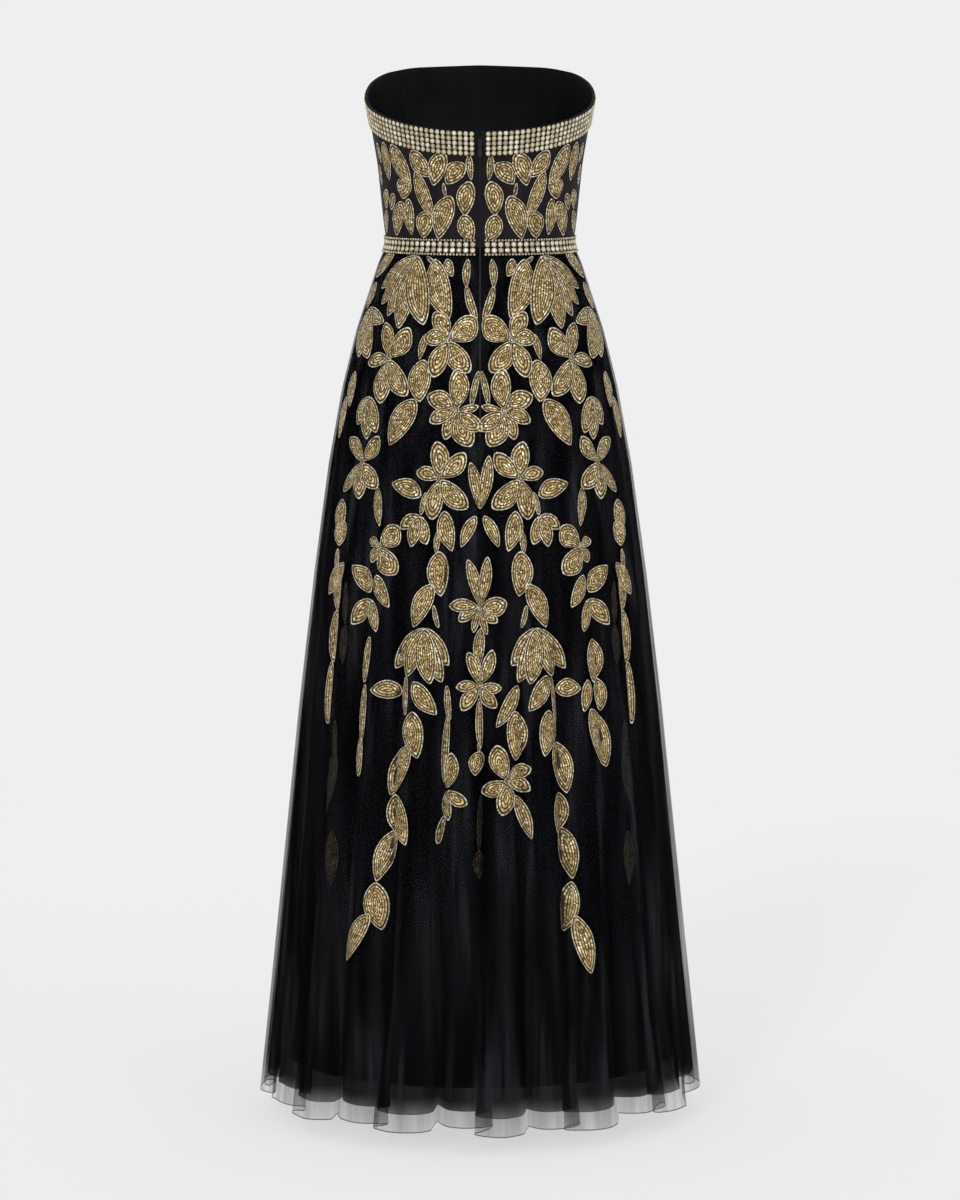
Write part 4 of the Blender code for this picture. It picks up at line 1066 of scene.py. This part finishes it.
class StoneWork:
    """Gathers many stones into one mesh on a strip."""

    def __init__(self):
        self.points, self.faces, self.uvs = [], [], []
        self.number = 0

    def add(self, turn, height, radius, profile=STONE, sides=STONE_SIDES):
        """A faceted round stone, square to the cloth."""
        rate = float(girth_rate(turn, height))
        spin = RNG.uniform(0, FULL)
        first = len(self.points)
        tilt = RNG.normal(0, TILT, 2)
        for k, (share, rise) in enumerate(profile):
            turned = spin + (k % 2) * math.pi / sides
            for s in range(sides):
                angle = turned + s * FULL / sides
                x, y = radius * share * math.cos(angle), radius * share * math.sin(angle)
                lean = (x * tilt[0] + y * tilt[1]) * (k > 0)
                self.points.append((turn + x / rate, height + y, SEAT + rise * MM + lean))
        rings = len(profile)
        for k in range(rings - 1):
            for s in range(sides):
                a, b = first + k * sides + s, first + k * sides + (s + 1) % sides
                c, d = a + sides, b + sides
                self.faces += ((a, b, c), (b, d, c))
                self.uvs += [(self.number + 0.5, k + 0.5)] * 6
        last = first + (rings - 1) * sides
        self.faces.append(tuple(last + s for s in range(sides)))
        self.faces.append(tuple(first + s for s in range(sides - 1, -1, -1)))
        self.uvs += [(self.number + 0.5, rings - 0.5)] * (2 * sides)
        self.number += 1

    def build(self, name):
        turns, heights, outs = np.array(self.points).T
        points = figure(turns, heights, outs)
        made = add_mesh(name, points, self.faces, STONES, self.uvs, crisp=STONE_CRISP)
        return made


def band_strip(name, turns, heights):
    strip = shell(name, SATIN, turns, heights, figure, BAND_OFF + STRIP_WALL, STRIP_WALL)
    return strip


def places(gap, count):
    """Turns of so many stones, evenly from one side of the zip to the other."""
    return [gap + (FULL - 2 * gap) * (k + 0.5) / count for k in range(count)]


def build_neck_band():
    gap = NECK_GAP / float(girth_rate(0.0, BODICE_LEVEL))
    turns = spread(gap, FULL - gap, STRIP_COLUMN)
    top = top_edge(turns) - NECK_BELOW
    heights = upright(turns, top - NECK_ROWS * NECK_STONE, top, NECK_ROW_STEP)
    strip = band_strip("neckline_strip", turns, heights)
    stones = StoneWork()
    for turn in places(gap, NECK_COLUMNS):
        edge = float(top_edge(turn)) - NECK_BELOW
        for k in range(NECK_ROWS):
            stones.add(turn, edge - (k + 0.5) * NECK_STONE, NECK_RADIUS * NECK_STONE)
    made = stones.build("neckline_stones")
    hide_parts("neckline_trim")


def build_waist_band():
    gap = WAIST_GAP / float(girth_rate(0.0, 0.0))
    turns = spread(gap, FULL - gap, STRIP_COLUMN)
    reach = WAIST_STONE + WAIST_EDGE
    heights = upright(turns, -reach, reach, WAIST_ROW_STEP)
    strip = band_strip("waist_strip", turns, heights)
    stones = StoneWork()
    for turn in places(gap, WAIST_COLUMNS):
        for level in (-0.5, 0.5):
            stones.add(turn, level * WAIST_STONE, WAIST_RADIUS * WAIST_STONE)
    for turn in places(gap, 2 * WAIST_COLUMNS):
        for level in (-1, 1):
            height = level * (WAIST_STONE + WAIST_EDGE / 2)
            stones.add(turn, height, WAIST_BEAD, SMALL_BEAD, BEAD_SIDES)
    made = stones.build("waist_stones")
    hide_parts("waist_trim")


# ---------------------------------------------------------------- zip
TAPE_ACROSS = np.array([-11, -6, -1.6, 1.6, 6, 11]) * MM
TAPE_ROW = 6 * MM
TAPE_PAST = 6 * MM
TAPE_BELOW = 2 * MM
TAPE_OUT = -CLOTH - 0.5 * MM
TAPE_WALL = 0.8 * MM
COIL_PITCH = 1.5 * MM
COIL_STAGGER = 0.25  # of the pitch, one side's loops down and the other's up
COIL_BELOW = 4 * MM
# A loop of the coil: its corners' places across and up, and its depths, in mm.
LOOP_CORNERS = ((-0.15, -0.35), (0.75, -0.35), (0.75, 0.35), (-0.15, 0.35))
LOOP_DEPTHS = (-1.55, -0.75)
BOX_FACES = (
    (0, 1, 2, 3), (7, 6, 5, 4), (0, 4, 5, 1), (1, 5, 6, 2), (2, 6, 7, 3), (3, 7, 4, 0),
)


def build_tape():
    top = float(top_edge(0.0)) - TAPE_BELOW
    rows = level_rows(ZIP_END - TAPE_PAST, top, TAPE_ROW, ())
    heights = np.repeat(rows[:, None], len(TAPE_ACROSS), axis=1)
    rate = np.array([float(girth_rate(0.0, z)) for z in rows])
    grid = TAPE_ACROSS[None, :] / rate[:, None]
    tape = shell("zip_tape_cloth", TAPE, grid, heights, gown_place, TAPE_OUT, TAPE_WALL)
    declare("zip_tape")


def build_coil():
    """The coil's loops, one after the other on either side."""
    points, faces = [], []
    top = float(top_edge(0.0)) - COIL_BELOW
    for k in range(int((top - ZIP_END) / COIL_PITCH)):
        for side in (-1, 1):
            z = ZIP_END + (k + COIL_STAGGER * (1 + side)) * COIL_PITCH
            rate = float(girth_rate(0.0, z))
            first = len(points)
            for depth in LOOP_DEPTHS:
                for x, up in LOOP_CORNERS:
                    points.append(tuple(figure(side * x * MM / rate, z + up * MM, depth * MM)))
            for face in BOX_FACES:
                order = face if side < 0 else face[::-1]
                faces.append(tuple(first + n for n in order))
    coil = add_mesh("zip_coil_loops", points, faces, COIL)


def colour_metal():
    for name in ("zip_slider", "zip_pull"):
        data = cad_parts[name].data
        data.materials.clear()
        data.materials.append(ZIP_METAL)


# ---------------------------------------------------------------- studio
FLOOR_SIZE = 600.0
FLOOR_DROP = 25 * MM
SKY = (0.863, 0.863, 0.866, 1)
FLOOR_TONE = (0.25, 0.25, 0.25)
FLOOR_GLOW = (0.6, 0.6, 0.602, 1)
# Name, strength, place it shines from, and how wide it looks, in degrees.
SUNS = (("key", 0.75, (1.6, 4.0, 3.2), 12), ("fill", 0.35, (-2.6, 2.5, 1.6), 25))
CAMERA_PLACE = (0, 5.5, 0.30)
CAMERA_DOWN = 7.86
SENSOR = 36
LENS = 129.1
SEE_TO = 2000
NET_BOUNCES = 32
BOUNCE_CLAMP = 0.15


def add_object(name, data):
    made = bpy.data.objects.new(name, data)
    bpy.context.scene.collection.objects.link(made)
    return made


def build_floor():
    mesh = bpy.data.meshes.new("studio_floor")
    z = HEM - FLOOR_DROP
    corners = [(-FLOOR_SIZE, -FLOOR_SIZE, z), (FLOOR_SIZE, -FLOOR_SIZE, z),
               (FLOOR_SIZE, FLOOR_SIZE, z), (-FLOOR_SIZE, FLOOR_SIZE, z)]
    mesh.from_pydata(corners, [], [(0, 1, 2, 3)])
    pale = Finish("pale_floor", FLOOR_TONE, 0.9, Specular_IOR_Level=0.0,
                  Emission_Color=FLOOR_GLOW, Emission_Strength=1.0)
    mesh.materials.append(pale.made)
    add_object("studio_floor", mesh)


def build_lights():
    world = bpy.data.worlds.new("studio")
    world.use_nodes = True
    sky = world.node_tree.nodes["Background"]
    sky.inputs["Color"].default_value = SKY
    sky.inputs["Strength"].default_value = 1.0
    bpy.context.scene.world = world
    for name, energy, spot, angle in SUNS:
        lamp = bpy.data.lights.new(name, "SUN")
        lamp.energy = energy
        lamp.angle = math.radians(angle)
        held = add_object(name, lamp)
        held.rotation_euler = (-Vector(spot)).to_track_quat("-Z", "Y").to_euler()


def build_camera():
    camera = bpy.data.cameras.new("camera")
    camera.sensor_fit = "VERTICAL"
    camera.sensor_height = SENSOR
    camera.lens = LENS
    camera.clip_end = SEE_TO
    held = add_object("camera", camera)
    held.location = CAMERA_PLACE
    held.rotation_euler = (math.radians(90 - CAMERA_DOWN), 0, math.pi)
    scene = bpy.context.scene
    scene.camera = held
    scene.view_settings.view_transform = "Standard"
    scene.cycles.transparent_max_bounces = NET_BOUNCES
    scene.cycles.caustics_reflective = False
    scene.cycles.sample_clamp_indirect = BOUNCE_CLAMP


build_floor()
build_lights()
build_camera()
build_bodice()
build_skirt()
build_beadwork()
build_neck_band()
build_waist_band()
build_tape()
build_coil()
colour_metal()
